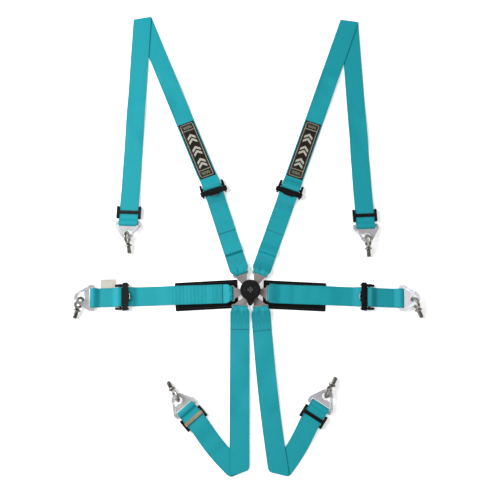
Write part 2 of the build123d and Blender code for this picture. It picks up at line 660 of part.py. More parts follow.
def hook_mouth(gate_side):
    """The way into the hook, between its heel on the base and its tip on the nose."""
    hook = (HOOK_S, 0)
    heel, tip = along(hook, HOOK_HEEL_ANGLE, HOOK_HOLE_R), along(hook, HOOK_TIP_ANGLE, HOOK_HOLE_R)
    shoulder, far = (PLATE_SHOULDER_S + 6, PLATE_HALF + 10), along(hook, HOOK_TIP_ANGLE - 8, 40)
    corners = (hook, heel, shoulder, far, tip)
    return Polygon(*[(s, gate_side * v) for s, v in corners], align=None)


def anchor_gate(strap, side):
    """The spring gate that closes the hook's mouth, turning on the rivet."""
    gate_side = LAYOUTS[strap][side]["gate_side"]
    pivot, tip = (Vector(x, gate_side * y) for x, y in (GATE_PIVOT, GATE_TIP))
    arm = Pos(*pivot) * Circle(GATE_HALF + 1) + Pos(*tip) * Circle(GATE_HALF)
    outline = make_hull(arm.edges()) - Pos(*pivot) * Circle(RIVET_R + 0.1)
    gate = Pos(0, 0, PLATE_T / 2 + 0.05) * extrude(outline, amount=GATE_T)
    return plate_place(strap, side) * gate


def eyebolt(strap, side):
    """A forged ring, neck and collar on a plain shank of the thread's outside diameter."""
    along_x = Rot(0, 90, 0)
    low = (Align.CENTER, Align.CENTER, Align.MIN)
    neck_start = EYE_R + 1
    bolt = Rot(90, 0, 0) * Torus(EYE_R, EYE_WIRE_R)
    bolt += Pos(neck_start, 0, 0) * along_x * Cone(EYE_WIRE_R, 6.5, COLLAR_X - neck_start, align=low)
    bolt += Pos(COLLAR_X, 0, 0) * along_x * Cylinder(COLLAR_R, COLLAR_T, align=low)
    bolt += Pos(COLLAR_X + COLLAR_T, 0, 0) * along_x * Cylinder(THREAD_R, THREAD_LENGTH, align=low)
    return eyebolt_place(strap, side) * bolt


# ---------------------------------------------------------------- sewn-on pieces


def lap_pad(side):
    """The flat pad under the lap strap beside the buckle."""
    d = LAP[side]
    pad = extrude(RectangleRounded(PAD_LENGTH, PAD_WIDTH, 2.0), amount=PAD_T)
    return frame_at(d["pad_centre"], d["pad_angle"]) * pad


def shoulder_patch(side):
    """The woven patch sewn on the upper shoulder strap, following its slope down from the adjuster."""
    d = SHOULDER[side]
    closed, gap = 60.0, 0.1
    start_z = ADJ_BAR_Z + ADJ_LOOP_R + WEB_T
    rise = (start_z - STACK_T) / (closed - ADJ_BAR_S - 2)
    end, loose_end, settled = PATCH_START + PATCH_LENGTH, 180.0, 200.0
    profile = layer(PATCH_START, STACK_T + rise * (closed - PATCH_START) + gap, closed, STACK_T + gap, PATCH_T)
    profile += layer(closed, STACK_T + gap, loose_end, STACK_T + gap, PATCH_T)
    profile += layer(loose_end, STACK_T + gap, settled, WEB_T + gap, PATCH_T)
    profile += layer(settled, WEB_T + gap, end, WEB_T + gap, PATCH_T)
    return frame_at(shoulder_points(side)[0], d["upper"]) * across(profile, PATCH_WIDTH)


def care_label():
    """The cloth label caught under the edge of the left short strap."""
    d = LAP["left"]
    tucked = 6.0
    s, v = d["short_length"] / 2 + 2, -(WEB_WIDTH / 2 + (LABEL_OUT - tucked) / 2)
    label = Pos(s, v, 0.05) * Box(
        LABEL_LENGTH, LABEL_OUT + tucked, LABEL_T, align=(Align.CENTER, Align.CENTER, Align.MIN)
    )
    return frame_at(lap_points("left")[0], d["strap"]) * label


# ---------------------------------------------------------------- all parts


def all_parts():
    """Every node's name with the function call that builds it."""
    parts = {
        "buckle_housing": buckle_housing,
        "buckle_base_plate": buckle_base_plate,
        "buckle_screws": buckle_screws,
        "latch_plungers": latch_plungers,
        "latch_spring": latch_spring,
        "cam_ring": cam_ring,
        "rotary_lever": rotary_lever,
        "care_label": care_label,
    }
    for side in SIDES:
        parts[f"shoulder_lower_strap_{side}"] = lambda s=side: shoulder_lower_strap(s)
        parts[f"shoulder_upper_strap_{side}"] = lambda s=side: shoulder_upper_strap(s)
        parts[f"shoulder_tail_strap_{side}"] = lambda s=side: shoulder_tail_strap(s)
        parts[f"shoulder_patch_{side}"] = lambda s=side: shoulder_patch(s)
        parts[f"lap_strap_{side}"] = lambda s=side: lap_strap(s)
        parts[f"lap_short_strap_{side}"] = lambda s=side: lap_short_strap(s)
        parts[f"lap_pad_{side}"] = lambda s=side: lap_pad(s)
        parts[f"crotch_strap_{side}"] = lambda s=side: crotch_strap(s)
        for strap in LAYOUTS:
            parts[f"{strap}_tongue_{side}"] = lambda k=strap, s=side: tongue(k, s)
            parts[f"{strap}_anchor_plate_{side}"] = lambda k=strap, s=side: anchor_plate(k, s)
            parts[f"{strap}_anchor_gate_{side}"] = lambda k=strap, s=side: anchor_gate(k, s)
            parts[f"{strap}_eyebolt_{side}"] = lambda k=strap, s=side: eyebolt(k, s)
        for strap in ("shoulder", "lap"):
            parts[f"{strap}_adjuster_frame_{side}"] = lambda k=strap, s=side: adjuster_frame(k, s)
            parts[f"{strap}_adjuster_lever_{side}"] = lambda k=strap, s=side: adjuster_lever(k, s)
        for strap in ("shoulder", "crotch"):
            parts[f"{strap}_slide_{side}"] = lambda k=strap, s=side: three_bar_slide(k, s)
    return parts


def main():
    """Writes one STEP file for each node."""
    os.makedirs("parts", exist_ok=True)
    for name, build in all_parts().items():
        export_step(build(), f"parts/{name}.step")


if __name__ == "__main__":
    main()
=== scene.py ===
"""Looks for a six-strap racing harness laid flat: webbing, stitching, pads, patches and hardware.

Geometry is worked out in millimetres and written to meshes in metres. Every place comes from the
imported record's joints: a strap's own frame has S along the strap, V across it and Z up.
"""

import json
import math

import bmesh
import bpy
from mathutils import Matrix, Vector, noise


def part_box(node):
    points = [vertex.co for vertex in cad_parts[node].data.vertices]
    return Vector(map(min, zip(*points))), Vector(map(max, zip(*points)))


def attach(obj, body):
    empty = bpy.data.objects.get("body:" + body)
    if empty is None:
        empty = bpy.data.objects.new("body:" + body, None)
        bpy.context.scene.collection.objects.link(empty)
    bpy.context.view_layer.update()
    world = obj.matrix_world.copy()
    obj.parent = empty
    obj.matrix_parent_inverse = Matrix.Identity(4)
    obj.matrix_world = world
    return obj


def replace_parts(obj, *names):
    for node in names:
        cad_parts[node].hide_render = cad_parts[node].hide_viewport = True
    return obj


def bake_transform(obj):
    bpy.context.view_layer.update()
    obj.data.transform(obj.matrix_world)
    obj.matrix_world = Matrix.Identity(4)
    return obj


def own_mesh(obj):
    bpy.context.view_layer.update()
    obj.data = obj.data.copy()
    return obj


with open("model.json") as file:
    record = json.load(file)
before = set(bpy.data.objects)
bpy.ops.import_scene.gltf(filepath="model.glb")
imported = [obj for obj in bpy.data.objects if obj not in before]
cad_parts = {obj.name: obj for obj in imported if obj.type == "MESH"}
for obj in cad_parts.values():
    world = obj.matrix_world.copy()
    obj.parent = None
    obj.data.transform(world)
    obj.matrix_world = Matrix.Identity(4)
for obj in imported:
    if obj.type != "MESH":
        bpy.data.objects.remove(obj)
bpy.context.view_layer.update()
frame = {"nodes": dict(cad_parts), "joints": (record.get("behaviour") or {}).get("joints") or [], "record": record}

MM = 0.001
SIDES = ("left", "right")
STRAPS = ("shoulder", "lap", "crotch")

# Webbing
WEB_HALF = 25.0
WEB_T = 1.5
WEB_MID = WEB_T / 2
SELVEDGE_SWELL = 1.12
SEWN_HALF = 21.5
LOOP_HALF = 18.0
TONGUE_Z = 8.0
TONGUE_ARC = 4.05
OVER_Z = 2.0

# Weave, in metres
RIB_PITCH = 0.00125
WEFT_PITCH = 0.0014
HERRINGBONE_PITCH = 0.005

# Adjusters, slides and anchors
BAR_S = 8.0
BAR_Z = 7.5
BAR_ARC = 4.15
LEVER_PIVOT_S = -1.5
SLIDE_FROM_ANCHOR = 28.0
SLIDE_HALF_LENGTH = 17.0
SLIDE_WEB_Z = 4.3
ANCHOR_Z = 6.0
ANCHOR_ARC = 5.25
LOOP_SLACK = 3.2
GATE_TIP = (34.5, 15.0)
GATE_PIVOT = (11.5, 27.5)
EYE_R = 13.5
EYE_WIRE_R = 4.0
COLLAR_X = 18.5
COLLAR_T = 4.0
COLLAR_R = 9.5
THREAD_R = 5.55
THREAD_LENGTH = 20.0
THREAD_PITCH = 1.27

# Lap straps
OVER_PAD = 2.7
FLOOR_CLEAR = 0.7
PAD_CLEAR_S = 160.0

# Patches
PATCH_START = 40.0
PATCH_LENGTH = 168.0
PATCH_HALF = 22.0

# Studio: sizes in metres, and how bright the floor and the sky are
LIT_POINT = Vector((0, 0.1, 0))
FLOOR_REACH = 6.0
FLOOR_DROP = 0.0012
FLOOR_GLOW = 0.42
WORLD_LIGHT = 0.32
WORLD_SEEN = 0.95


# ---------------------------------------------------------------- places

JOINTS = {j["name"]: j for j in frame["joints"]}
MOUNTS = {m["name"]: m for m in frame["record"]["mounts"]}
UP = Vector((0, 0, 1))


def joint_point(name):
    """A hinge's point in millimetres."""
    return Vector(JOINTS[name]["pos_m"]) / MM


def joint_axis(name):
    """A joint's axis."""
    return Vector(JOINTS[name]["axis"]).normalized()


def axes_frame(origin, s, v):
    """The matrix whose columns are S, V, S x V and the origin."""
    n = s.cross(v).normalized()
    rows = [(s[i], v[i], n[i], origin[i]) for i in range(3)]
    return Matrix(rows + [(0, 0, 0, 1)])


def flat_frame(origin, s):
    """A strap's frame on the ground: S level along s, V to its left, Z up."""
    level = Vector((s.x, s.y, 0)).normalized()
    return axes_frame(Vector((origin.x, origin.y, 0)), level, UP.cross(level))


def strap_frame(strap, side):
    """The frame at a tongue's bar, S away from the buckle."""
    name = f"{strap}_strap_swing_{side}"
    return flat_frame(joint_point(name), -joint_axis(name).cross(UP))


def adjuster_frame(strap, side):
    """The frame at an adjuster's centre, S away from the buckle."""
    name = f"{strap}_adjuster_release_{side}"
    s = joint_axis(name).cross(UP)
    return flat_frame(joint_point(name) - s * LEVER_PIVOT_S, s)


def anchor_frame(strap, side):
    """The frame on the ground under an anchor plate's bar, S towards the eyebolt."""
    name = f"{strap}_anchor_swing_{side}"
    return flat_frame(joint_point(name), -joint_axis(name).cross(UP))


def plate_frame(strap, side):
    """An anchor plate's own tilted frame."""
    v = -joint_axis(f"{strap}_anchor_swing_{side}")
    n = joint_axis(f"{strap}_gate_open_{side}")
    n = n if n.z > 0 else -n
    return axes_frame(joint_point(f"{strap}_anchor_swing_{side}"), v.cross(n), v)


def gate_side(strap, side):
    """+1 where the hook opens towards +V, else -1."""
    return -1 if joint_axis(f"{strap}_gate_open_{side}").z > 0 else 1


def eye_frame(strap, side):
    """An eyebolt's frame: X along its shank, Y on its ring's axis."""
    name = f"{strap}_eyebolt_swing_{side}"
    shank = Vector(MOUNTS[f"{strap}_thread_{side}"]["axis"]).normalized()
    return axes_frame(joint_point(name), shank, -joint_axis(name))


def span(a, b):
    """The distance between two frames' origins."""
    return (a.to_translation() - b.to_translation()).length


# ---------------------------------------------------------------- node materials


class Value:
    """A node's output that can be added, subtracted and multiplied."""

    def __init__(self, nodes, socket):
        self.nodes = nodes
        self.socket = socket

    def __add__(self, other):
        return self.nodes.math("ADD", self, other)

    def __sub__(self, other):
        return self.nodes.math("SUBTRACT", self, other)

    def __rsub__(self, other):
        return self.nodes.math("SUBTRACT", other, self)

    def __mul__(self, other):
        return self.nodes.math("MULTIPLY", self, other)

    def clamped(self):
        self.socket.node.use_clamp = True
        return self


class Nodes:
    """A short way to write a node tree. Colours are given without their alpha."""

    def __init__(self, name):
        self.material = bpy.data.materials.new(name)
        self.material.use_nodes = True
        self.tree = self.material.node_tree
        self.shader = self.tree.nodes["Principled BSDF"]

    def add(self, kind, *numbered, output=0, settings=(), **named):
        """Adds a node, feeds its inputs by number or by name, and gives one of its outputs."""
        node = self.tree.nodes.new("ShaderNode" + kind)
        for key, value in dict(settings).items():
            setattr(node, key, value)
        for number, value in enumerate(numbered):
            if value is not None:
                self.feed(node.inputs[number], value)
        for key, value in named.items():
            self.feed(node.inputs[key.replace("_", " ")], value)
        return Value(self, node.outputs[output])

    def feed(self, socket, value):
        if isinstance(value, Value):
            self.tree.links.new(value.socket, socket)
        elif isinstance(value, tuple):
            socket.default_value = (*value, 1)[: len(socket.default_value)]
        else:
            socket.default_value = value

    def math(self, operation, a, b=0.0):
        return self.add("Math", a, b, settings={"operation": operation})

    def wave(self, value, pitch):
        """A sine of the given pitch."""
        return self.math("SINE", value * (2 * math.pi / pitch))

    def noise(self, scale, detail=3.0, rough=0.5, vector=None):
        vector = vector or self.place()
        return self.add("TexNoise", output="Fac", Vector=vector, Scale=scale, Detail=detail, Roughness=rough)

    def mix(self, factor, a, b):
        blank = (None,) * 5
        return self.add("Mix", factor, *blank, a, b, output=2, settings={"data_type": "RGBA"})

    def ramp(self, factor, low, high):
        """0 below low, 1 above high, straight between."""
        return self.add("MapRange", Value=factor, From_Min=low, From_Max=high)

    def bump(self, height, distance, strength=1.0):
        return self.add("Bump", output="Normal", Height=height, Distance=distance, Strength=strength)

    def scaled(self, x, y, z):
        """The rest place stretched along each axis."""
        return self.add("VectorMath", self.place(), (x, y, z), settings={"operation": "MULTIPLY"})

    def place(self):
        """The rest place of each point in the row frame, in metres."""
        return self.add("TexCoord", output="Object")

    def split(self, vector):
        """The first two parts of a vector."""
        first = self.add("SeparateXYZ", vector)
        return first, Value(self, first.socket.node.outputs[1])

    def pointiness(self, low, high):
        """0 below low, 1 above high; convex edges lie above 0.5 and hollows below."""
        return self.ramp(self.add("NewGeometry", output="Pointiness"), low, high)

    def finish(self, **inputs):
        for key, value in inputs.items():
            self.feed(self.shader.inputs[key.replace("_", " ")], value)
        return self.material


def woven_webbing(name, base, shade, light):
    """Polyester webbing: lengthwise ribs crossed by a fine herringbone, with tight selvedges."""
    n = Nodes(name)
    u, v = n.split(n.add("UVMap"))
    across = n.math("ABSOLUTE", v)
    zigzag_across = n.math("ABSOLUTE", n.math("FRACT", v * (1 / HERRINGBONE_PITCH)) - 0.5)
    weft = n.wave(u * (1 / WEFT_PITCH) + zigzag_across * 3.0, 1.0)
    weave = n.wave(v, RIB_PITCH) * 0.45 + weft * 0.55
    selvedge = n.ramp(across, 0.0225, 0.0237)
    seam_line = n.ramp(across, 0.0205, 0.0209) * (1.0 - n.ramp(across, 0.0213, 0.0217))
    soft = n.noise(9.0, 4.0, 0.55)
    fuzz = n.noise(900.0, 2.0)
    tone = weave * 0.10 + (soft - 0.5) * 0.9 + (fuzz - 0.5) * 0.25
    colour = n.mix((tone + 0.5).clamped(), shade, light)
    colour = n.mix((n.math("ABSOLUTE", tone) * 0.6).clamped(), base, colour)
    return n.finish(
        Base_Color=n.mix((selvedge * 0.35 + seam_line * 0.3).clamped(), colour, shade),
        Roughness=fuzz * 0.15 + 0.52,
        Normal=n.bump(weave + fuzz * 0.8, 0.00012, 0.8),
        Sheen_Weight=0.04,
        Sheen_Roughness=0.4,
        Sheen_Tint=tuple(part * 0.6 + 0.4 for part in light),
        Specular_IOR_Level=0.25,
    )


def thread(name, colour, light):
    """Twisted sewing thread."""
    n = Nodes(name)
    twist = n.noise(1600.0, 2.0)
    normal = n.bump(twist, 0.0001, 0.7)
    return n.finish(Base_Color=n.mix(twist, colour, light), Roughness=0.55, Normal=normal, Sheen_Weight=0.1)


def cloth(name, colour, light, pitch, wear, rough=0.85, sheen=0.2):
    """A plain weave at the given thread pitch in metres, slightly faded in patches."""
    n = Nodes(name)
    x, y = n.split(n.place())
    weave = n.wave(x + y, pitch) * n.wave(x - y, pitch)
    faded = n.noise(35.0, 4.0, 0.6)
    lint = n.ramp(n.noise(700.0, 1.0), 0.66, 0.72)
    woven = n.mix((weave * 0.22 + faded * wear).clamped(), colour, light)
    return n.finish(
        Base_Color=n.mix(lint * 0.25, woven, light),
        Roughness=rough,
        Normal=n.bump(weave, 0.00018, 0.8),
        Sheen_Weight=sheen,
        Sheen_Roughness=0.5,
        Specular_IOR_Level=0.12,
    )


def coated(name, colour, pale_dust_wear_and_highlight, rough=0.38):
    """Satin black powder coat with orange peel, a little dust, and paler convex edges: partly edge wear, partly a
    painted edge highlight.
    """
    n = Nodes(name)
    dust = n.noise(60.0, 5.0, 0.65)
    # Paler patches on convex edges: edge wear and a painted edge highlight, in the pale colour that also tints the
    # dust.
    edge_wear_and_highlight = n.pointiness(0.53, 0.62) * n.ramp(n.noise(160.0, 3.0), 0.38, 0.62)
    dusty = n.mix(n.ramp(dust, 0.5, 0.8) * 0.12, colour, pale_dust_wear_and_highlight)
    return n.finish(
        Base_Color=n.mix(edge_wear_and_highlight * 0.6, dusty, pale_dust_wear_and_highlight),
        Roughness=dust * 0.16 + rough,
        Normal=n.bump(n.noise(900.0, 2.0), 0.00006, 0.6),
        Coat_Weight=0.02,
        Coat_Roughness=0.3,
        Specular_IOR_Level=0.14,
    )


def plated(name, colour, dark, rough, metal):
    """Zinc plated steel: fine rolled grain, soft blotches and scuffs, brighter edges."""
    n = Nodes(name)
    lines = n.noise(1.0, 3.0, vector=n.scaled(160.0, 1400.0, 1400.0))
    blotch = n.noise(55.0, 5.0, 0.6)
    scuff = n.ramp(n.noise(1.0, 4.0, 0.7, n.scaled(900.0, 120.0, 300.0)), 0.6, 0.75)
    tinted = n.mix(n.ramp(lines * 0.35 + blotch * 0.65, 0.32, 0.68), dark, colour)
    return n.finish(
        Base_Color=n.mix(n.pointiness(0.52, 0.6) * 0.5, tinted, (0.9, 0.9, 0.92)),
        Metallic=metal,
        Roughness=blotch * 0.18 + (rough - 0.08) + scuff * 0.15,
        Normal=n.bump(lines + scuff * 0.5, 0.00003, 0.6),
    )


def forged(name, colour, dark):
    """Forged and plated steel, with scale in the hollows."""
    n = Nodes(name)
    skin = n.noise(420.0, 4.0, 0.6)
    hollow = 1.0 - n.pointiness(0.44, 0.51)
    tone = (n.ramp(n.noise(90.0, 4.0), 0.35, 0.7) + hollow * -0.7).clamped()
    return n.finish(
        Base_Color=n.mix(tone, dark, colour),
        Metallic=1.0,
        Roughness=skin * 0.25 + 0.28,
        Normal=n.bump(skin, 0.00009, 0.7),
    )


def moulded(name, colour, light, rough):
    """Moulded plastic with a fine spark-eroded texture."""
    n = Nodes(name)
    smear = n.noise(70.0, 4.0, 0.6)
    return n.finish(
        Base_Color=n.mix(n.pointiness(0.52, 0.58) * 0.35, n.mix(smear * 0.3, colour, light), light),
        Roughness=smear * 0.22 + (rough - 0.1),
        Normal=n.bump(n.noise(1700.0, 2.0), 0.00005, 0.5),
        Specular_IOR_Level=0.2,
    )


# Each finish: the record's slot, the kind, its darker or main colours, and the kind's own settings.
FINISHES = {
    "webbing": ("webbing", woven_webbing, (0.003, 0.275, 0.315), (0.001, 0.175, 0.21), (0.008, 0.355, 0.395)),
    # Stitch thread, about half as bright as the webbing: partly its own darker colour, partly painted shade of the
    # puckered stitch lines.
    "thread": ("webbing", thread, (0.002, 0.12, 0.15), (0.008, 0.24, 0.28)),
    # Cut-end lines, far darker than the webbing: painted shadow at each cut end's step, and the heat-fused edge.
    "sealed": ("webbing", thread, (0.0006, 0.035, 0.045), (0.002, 0.07, 0.09)),
    "patch": ("patch_cloth", cloth, (0.014, 0.0105, 0.008), (0.034, 0.027, 0.021), 0.0011, 0.15, 0.85, 0.03),
    "patch_border": ("patch_cloth", thread, (0.40, 0.34, 0.25), (0.56, 0.49, 0.38)),
    "patch_inner": ("patch_cloth", thread, (0.115, 0.095, 0.07), (0.17, 0.145, 0.11)),
    "patch_hatch": ("patch_cloth", thread, (0.20, 0.175, 0.115), (0.34, 0.30, 0.21)),
    "patch_motif": ("patch_cloth", thread, (0.30, 0.275, 0.215), (0.47, 0.435, 0.35)),
    "pad": ("pad_cloth", cloth, (0.002, 0.0016, 0.0016), (0.010, 0.0085, 0.0085), 0.0016, 0.15, 0.85, 0.02),
    "pad_binding": (
        "pad_cloth", cloth, (0.0018, 0.0015, 0.0015), (0.009, 0.008, 0.008), 0.0009, 0.12, 0.8, 0.02,
    ),
    "pad_thread": ("pad_cloth", thread, (0.005, 0.005, 0.006), (0.03, 0.03, 0.033)),
    "label": ("label_cloth", cloth, (0.50, 0.46, 0.38), (0.72, 0.68, 0.60), 0.0008, 0.5),
    "coat": ("black_powder_coat", coated, (0.0022, 0.0021, 0.0022), (0.03, 0.028, 0.027)),
    "housing": ("black_anodised", coated, (0.003, 0.003, 0.0032), (0.03, 0.029, 0.028), 0.4),
    "bronze": ("bronze_slide", plated, (0.36, 0.29, 0.18), (0.20, 0.155, 0.09), 0.42, 0.4),
    "zinc": ("zinc_plate", plated, (0.52, 0.49, 0.51), (0.40, 0.375, 0.39), 0.46, 0.45),
    # A paler copy of the zinc for the left-hand anchor plates: painted light from the key lamp's side.
    "zinc_pale": ("zinc_plate", plated, (0.56, 0.54, 0.535), (0.45, 0.43, 0.43), 0.46, 0.4),
    "tongue": ("zinc_plate", plated, (0.30, 0.25, 0.235), (0.20, 0.17, 0.16), 0.42, 0.45),
    "bright": ("bright_zinc", plated, (0.78, 0.77, 0.78), (0.60, 0.59, 0.61), 0.34, 0.5),
    "steel": ("steel", plated, (0.62, 0.62, 0.63), (0.38, 0.38, 0.40), 0.30, 0.8),
    "forged": ("forged_steel", forged, (0.50, 0.47, 0.42), (0.13, 0.115, 0.10)),
    "knob": ("black_plastic", moulded, (0.0024, 0.0022, 0.0022), (0.014, 0.0135, 0.0135), 0.36),
    "mark": ("black_plastic", moulded, (0.09, 0.088, 0.085), (0.17, 0.165, 0.16), 0.5),
}
SLOTS = {key: settings[0] for key, settings in FINISHES.items()}
MATERIALS = {key: kind(key, *settings) for key, (slot, kind, *settings) in FINISHES.items()}


# ---------------------------------------------------------------- mesh helpers


def smooth(t):
    """Smoothstep."""
    t = min(max(t, 0.0), 1.0)
    return t * t * (3 - 2 * t)


def reshaped(mesh, step):
    """Runs a bmesh step on a mesh and shades it smooth."""
    shape = bmesh.new()
    shape.from_mesh(mesh)
    step(shape)
    shape.to_mesh(mesh)
    shape.free()
    mesh.polygons.foreach_set("use_smooth", [True] * len(mesh.polygons))


def faced_outwards(shape):
    """Turns every face outwards, on a strap that lies on itself too."""
    bmesh.ops.recalc_face_normals(shape, faces=shape.faces)
    if shape.calc_volume(signed=True) < 0:
        bmesh.ops.reverse_faces(shape, faces=shape.faces)


def piece_of(name, mesh, finish, body, slot=None):
    """Links a mesh with a finish, riding on a body if one is given."""
    mesh.materials.clear()
    mesh.materials.append(MATERIALS[finish])
    piece = bpy.data.objects.new(name, mesh)
    bpy.context.scene.collection.objects.link(piece)
    if body:
        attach(piece, body)
    slot or SLOTS[finish]
    return piece


def make(name, shape, finish, body, matrix=None, angle=40, slot=None):
    """A piece from (vertices, faces) or (vertices, faces, uvs), in millimetres with uvs in metres."""
    vertices, faces, *uvs = shape
    mesh = bpy.data.meshes.new(name)
    placed = [matrix @ Vector(p) if matrix else Vector(p) for p in vertices]
    mesh.from_pydata([p * MM for p in placed], [], faces)
    if uvs:
        layer = mesh.uv_layers.new(name="UVMap")
        for loop in mesh.loops:
            layer.data[loop.index].uv = uvs[0][loop.vertex_index]
    reshaped(mesh, faced_outwards)
    mesh.set_sharp_from_angle(angle=math.radians(angle))
    return piece_of(name, mesh, finish, body, slot)


def flattened(shape):
    """Merges repeated points and the faces that lie in one plane."""
    bmesh.ops.remove_doubles(shape, verts=shape.verts, dist=2e-6)
    bmesh.ops.dissolve_limit(
        shape, angle_limit=math.radians(1.5), verts=shape.verts, edges=shape.edges, delimit={"NORMAL"}
    )


def bevelled(name, node, body, finish, width, segments=2):
    """A copy of a CAD node's mesh with its flat faces merged and its edges rounded."""
    mesh = frame["nodes"][node].data.copy()
    reshaped(mesh, flattened)
    piece = piece_of(name, mesh, finish, body)
    mesh.polygons.foreach_set("material_index", [0] * len(mesh.polygons))
    rounding = piece.modifiers.new("rounding", "BEVEL")
    rounding.width = width * MM
    rounding.segments = segments
    rounding.limit_method = "ANGLE"
    rounding.angle_limit = math.radians(30)
    rounding.use_clamp_overlap = True
    shading = piece.modifiers.new("shading", "WEIGHTED_NORMAL")
    shading.weight = 100
    shading.keep_sharp = True
    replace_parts(piece, node)
    return piece


def tube_faces(start, rings, sides, closed=False, capped=True):
    """The faces between rings of points, with flat ends unless the tube closes on itself."""
    faces = []
    for i in range(rings if closed else rings - 1):
        a, b = start + i * sides, start + (i + 1) % rings * sides
        for k in range(sides):
            m = (k + 1) % sides
            faces.append((a + k, a + m, b + m, b + k))
    if capped and not closed:
        faces.append(tuple(range(start + sides - 1, start - 1, -1)))
        faces.append(tuple(range(start + (rings - 1) * sides, start + rings * sides)))
    return faces


def circle(r, sides, turned=0.0):
    """Points round a circle."""
    angles = [turned + 2 * math.pi * k / sides for k in range(sides)]
    return [(r * math.cos(a), r * math.sin(a)) for a in angles]


def merged(*shapes):
    """Several (vertices, faces) as one."""
    vertices, faces = [], []
    for more, joins in shapes:
        faces += [tuple(len(vertices) + k for k in face) for face in joins]
        vertices += more
    return vertices, faces


def tube_mesh(lines, radius, sides=8, closed=False):
    """Round wires that follow lists of points."""
    vertices, faces = [], []
    for line in lines:
        points = [Vector(p) for p in line]
        count = len(points)
        faces += tube_faces(len(vertices), count, sides, closed)
        side = None
        for i, p in enumerate(points):
            before = points[i - 1] if i or closed else points[i]
            after = points[(i + 1) % count] if i + 1 < count or closed else points[i]
            along = (after - before).normalized()
            side = side or along.orthogonal().normalized()
            side = (side - along * side.dot(along)).normalized()
            other = along.cross(side)
            vertices += [p + side * x + other * y for x, y in circle(radius, sides)]
    return vertices, faces


def closed_sheet(rows, columns, spot):
    """A thin closed slab. spot(layer, i, k) gives a point and its UV; layer 1 is above, 0 below."""
    vertices, uvs, faces = [], [], []
    for layer in (1, 0):
        for i in range(rows + 1):
            for k in range(columns + 1):
                point, uv = spot(layer, i, k)
                vertices.append(point)
                uvs.append(uv)
    wide = columns + 1
    sheet = wide * (rows + 1)
    for i in range(rows):
        for k in range(columns):
            a, b = i * wide + k, i * wide + k + 1
            faces.append((a, b, b + wide, a + wide))
            faces.append((sheet + a, sheet + a + wide, sheet + b + wide, sheet + b))
        for k in (0, columns):
            a = i * wide + k
            faces.append((a, a + wide, sheet + a + wide, sheet + a))
    for i in (0, rows):
        for k in range(columns):
            a = i * wide + k
            faces.append((a, a + 1, sheet + a + 1, sheet + a))
    return vertices, faces, uvs


# ---------------------------------------------------------------- webbing paths


def run(s0, z0, s1, z1, step=3.0):
    """Points from one height to another, level at both ends."""
    count = max(2, math.ceil(abs(s1 - s0) / step))
    points = []
    for i in range(count + 1):
        t = i / count
        points.append((s0 + (s1 - s0) * t, z0 + (z1 - z0) * smooth(t)))
    return points


def turn(s, z, radius, start, end, step=15):
    """Points round a bar, from one angle to another in degrees."""
    count = max(2, math.ceil(abs(end - start) / step))
    points = []
    for i in range(count + 1):
        a = math.radians(start + (end - start) * i / count)
        points.append((s + radius * math.cos(a), z + radius * math.sin(a)))
    return points


def track(*marks):
    """A centre line through (s, z) or (s, z, step) marks and turns. Step 0 goes straight to its mark."""
    points = []
    for mark in marks:
        if isinstance(mark, list):
            part = mark
        elif points and (len(mark) < 3 or mark[2]):
            part = run(*points[-1], *mark)
        else:
            part = [mark[:2]]
        for p in part:
            if not points or math.dist(points[-1], p) > 0.05:
                points.append(p)
    return points


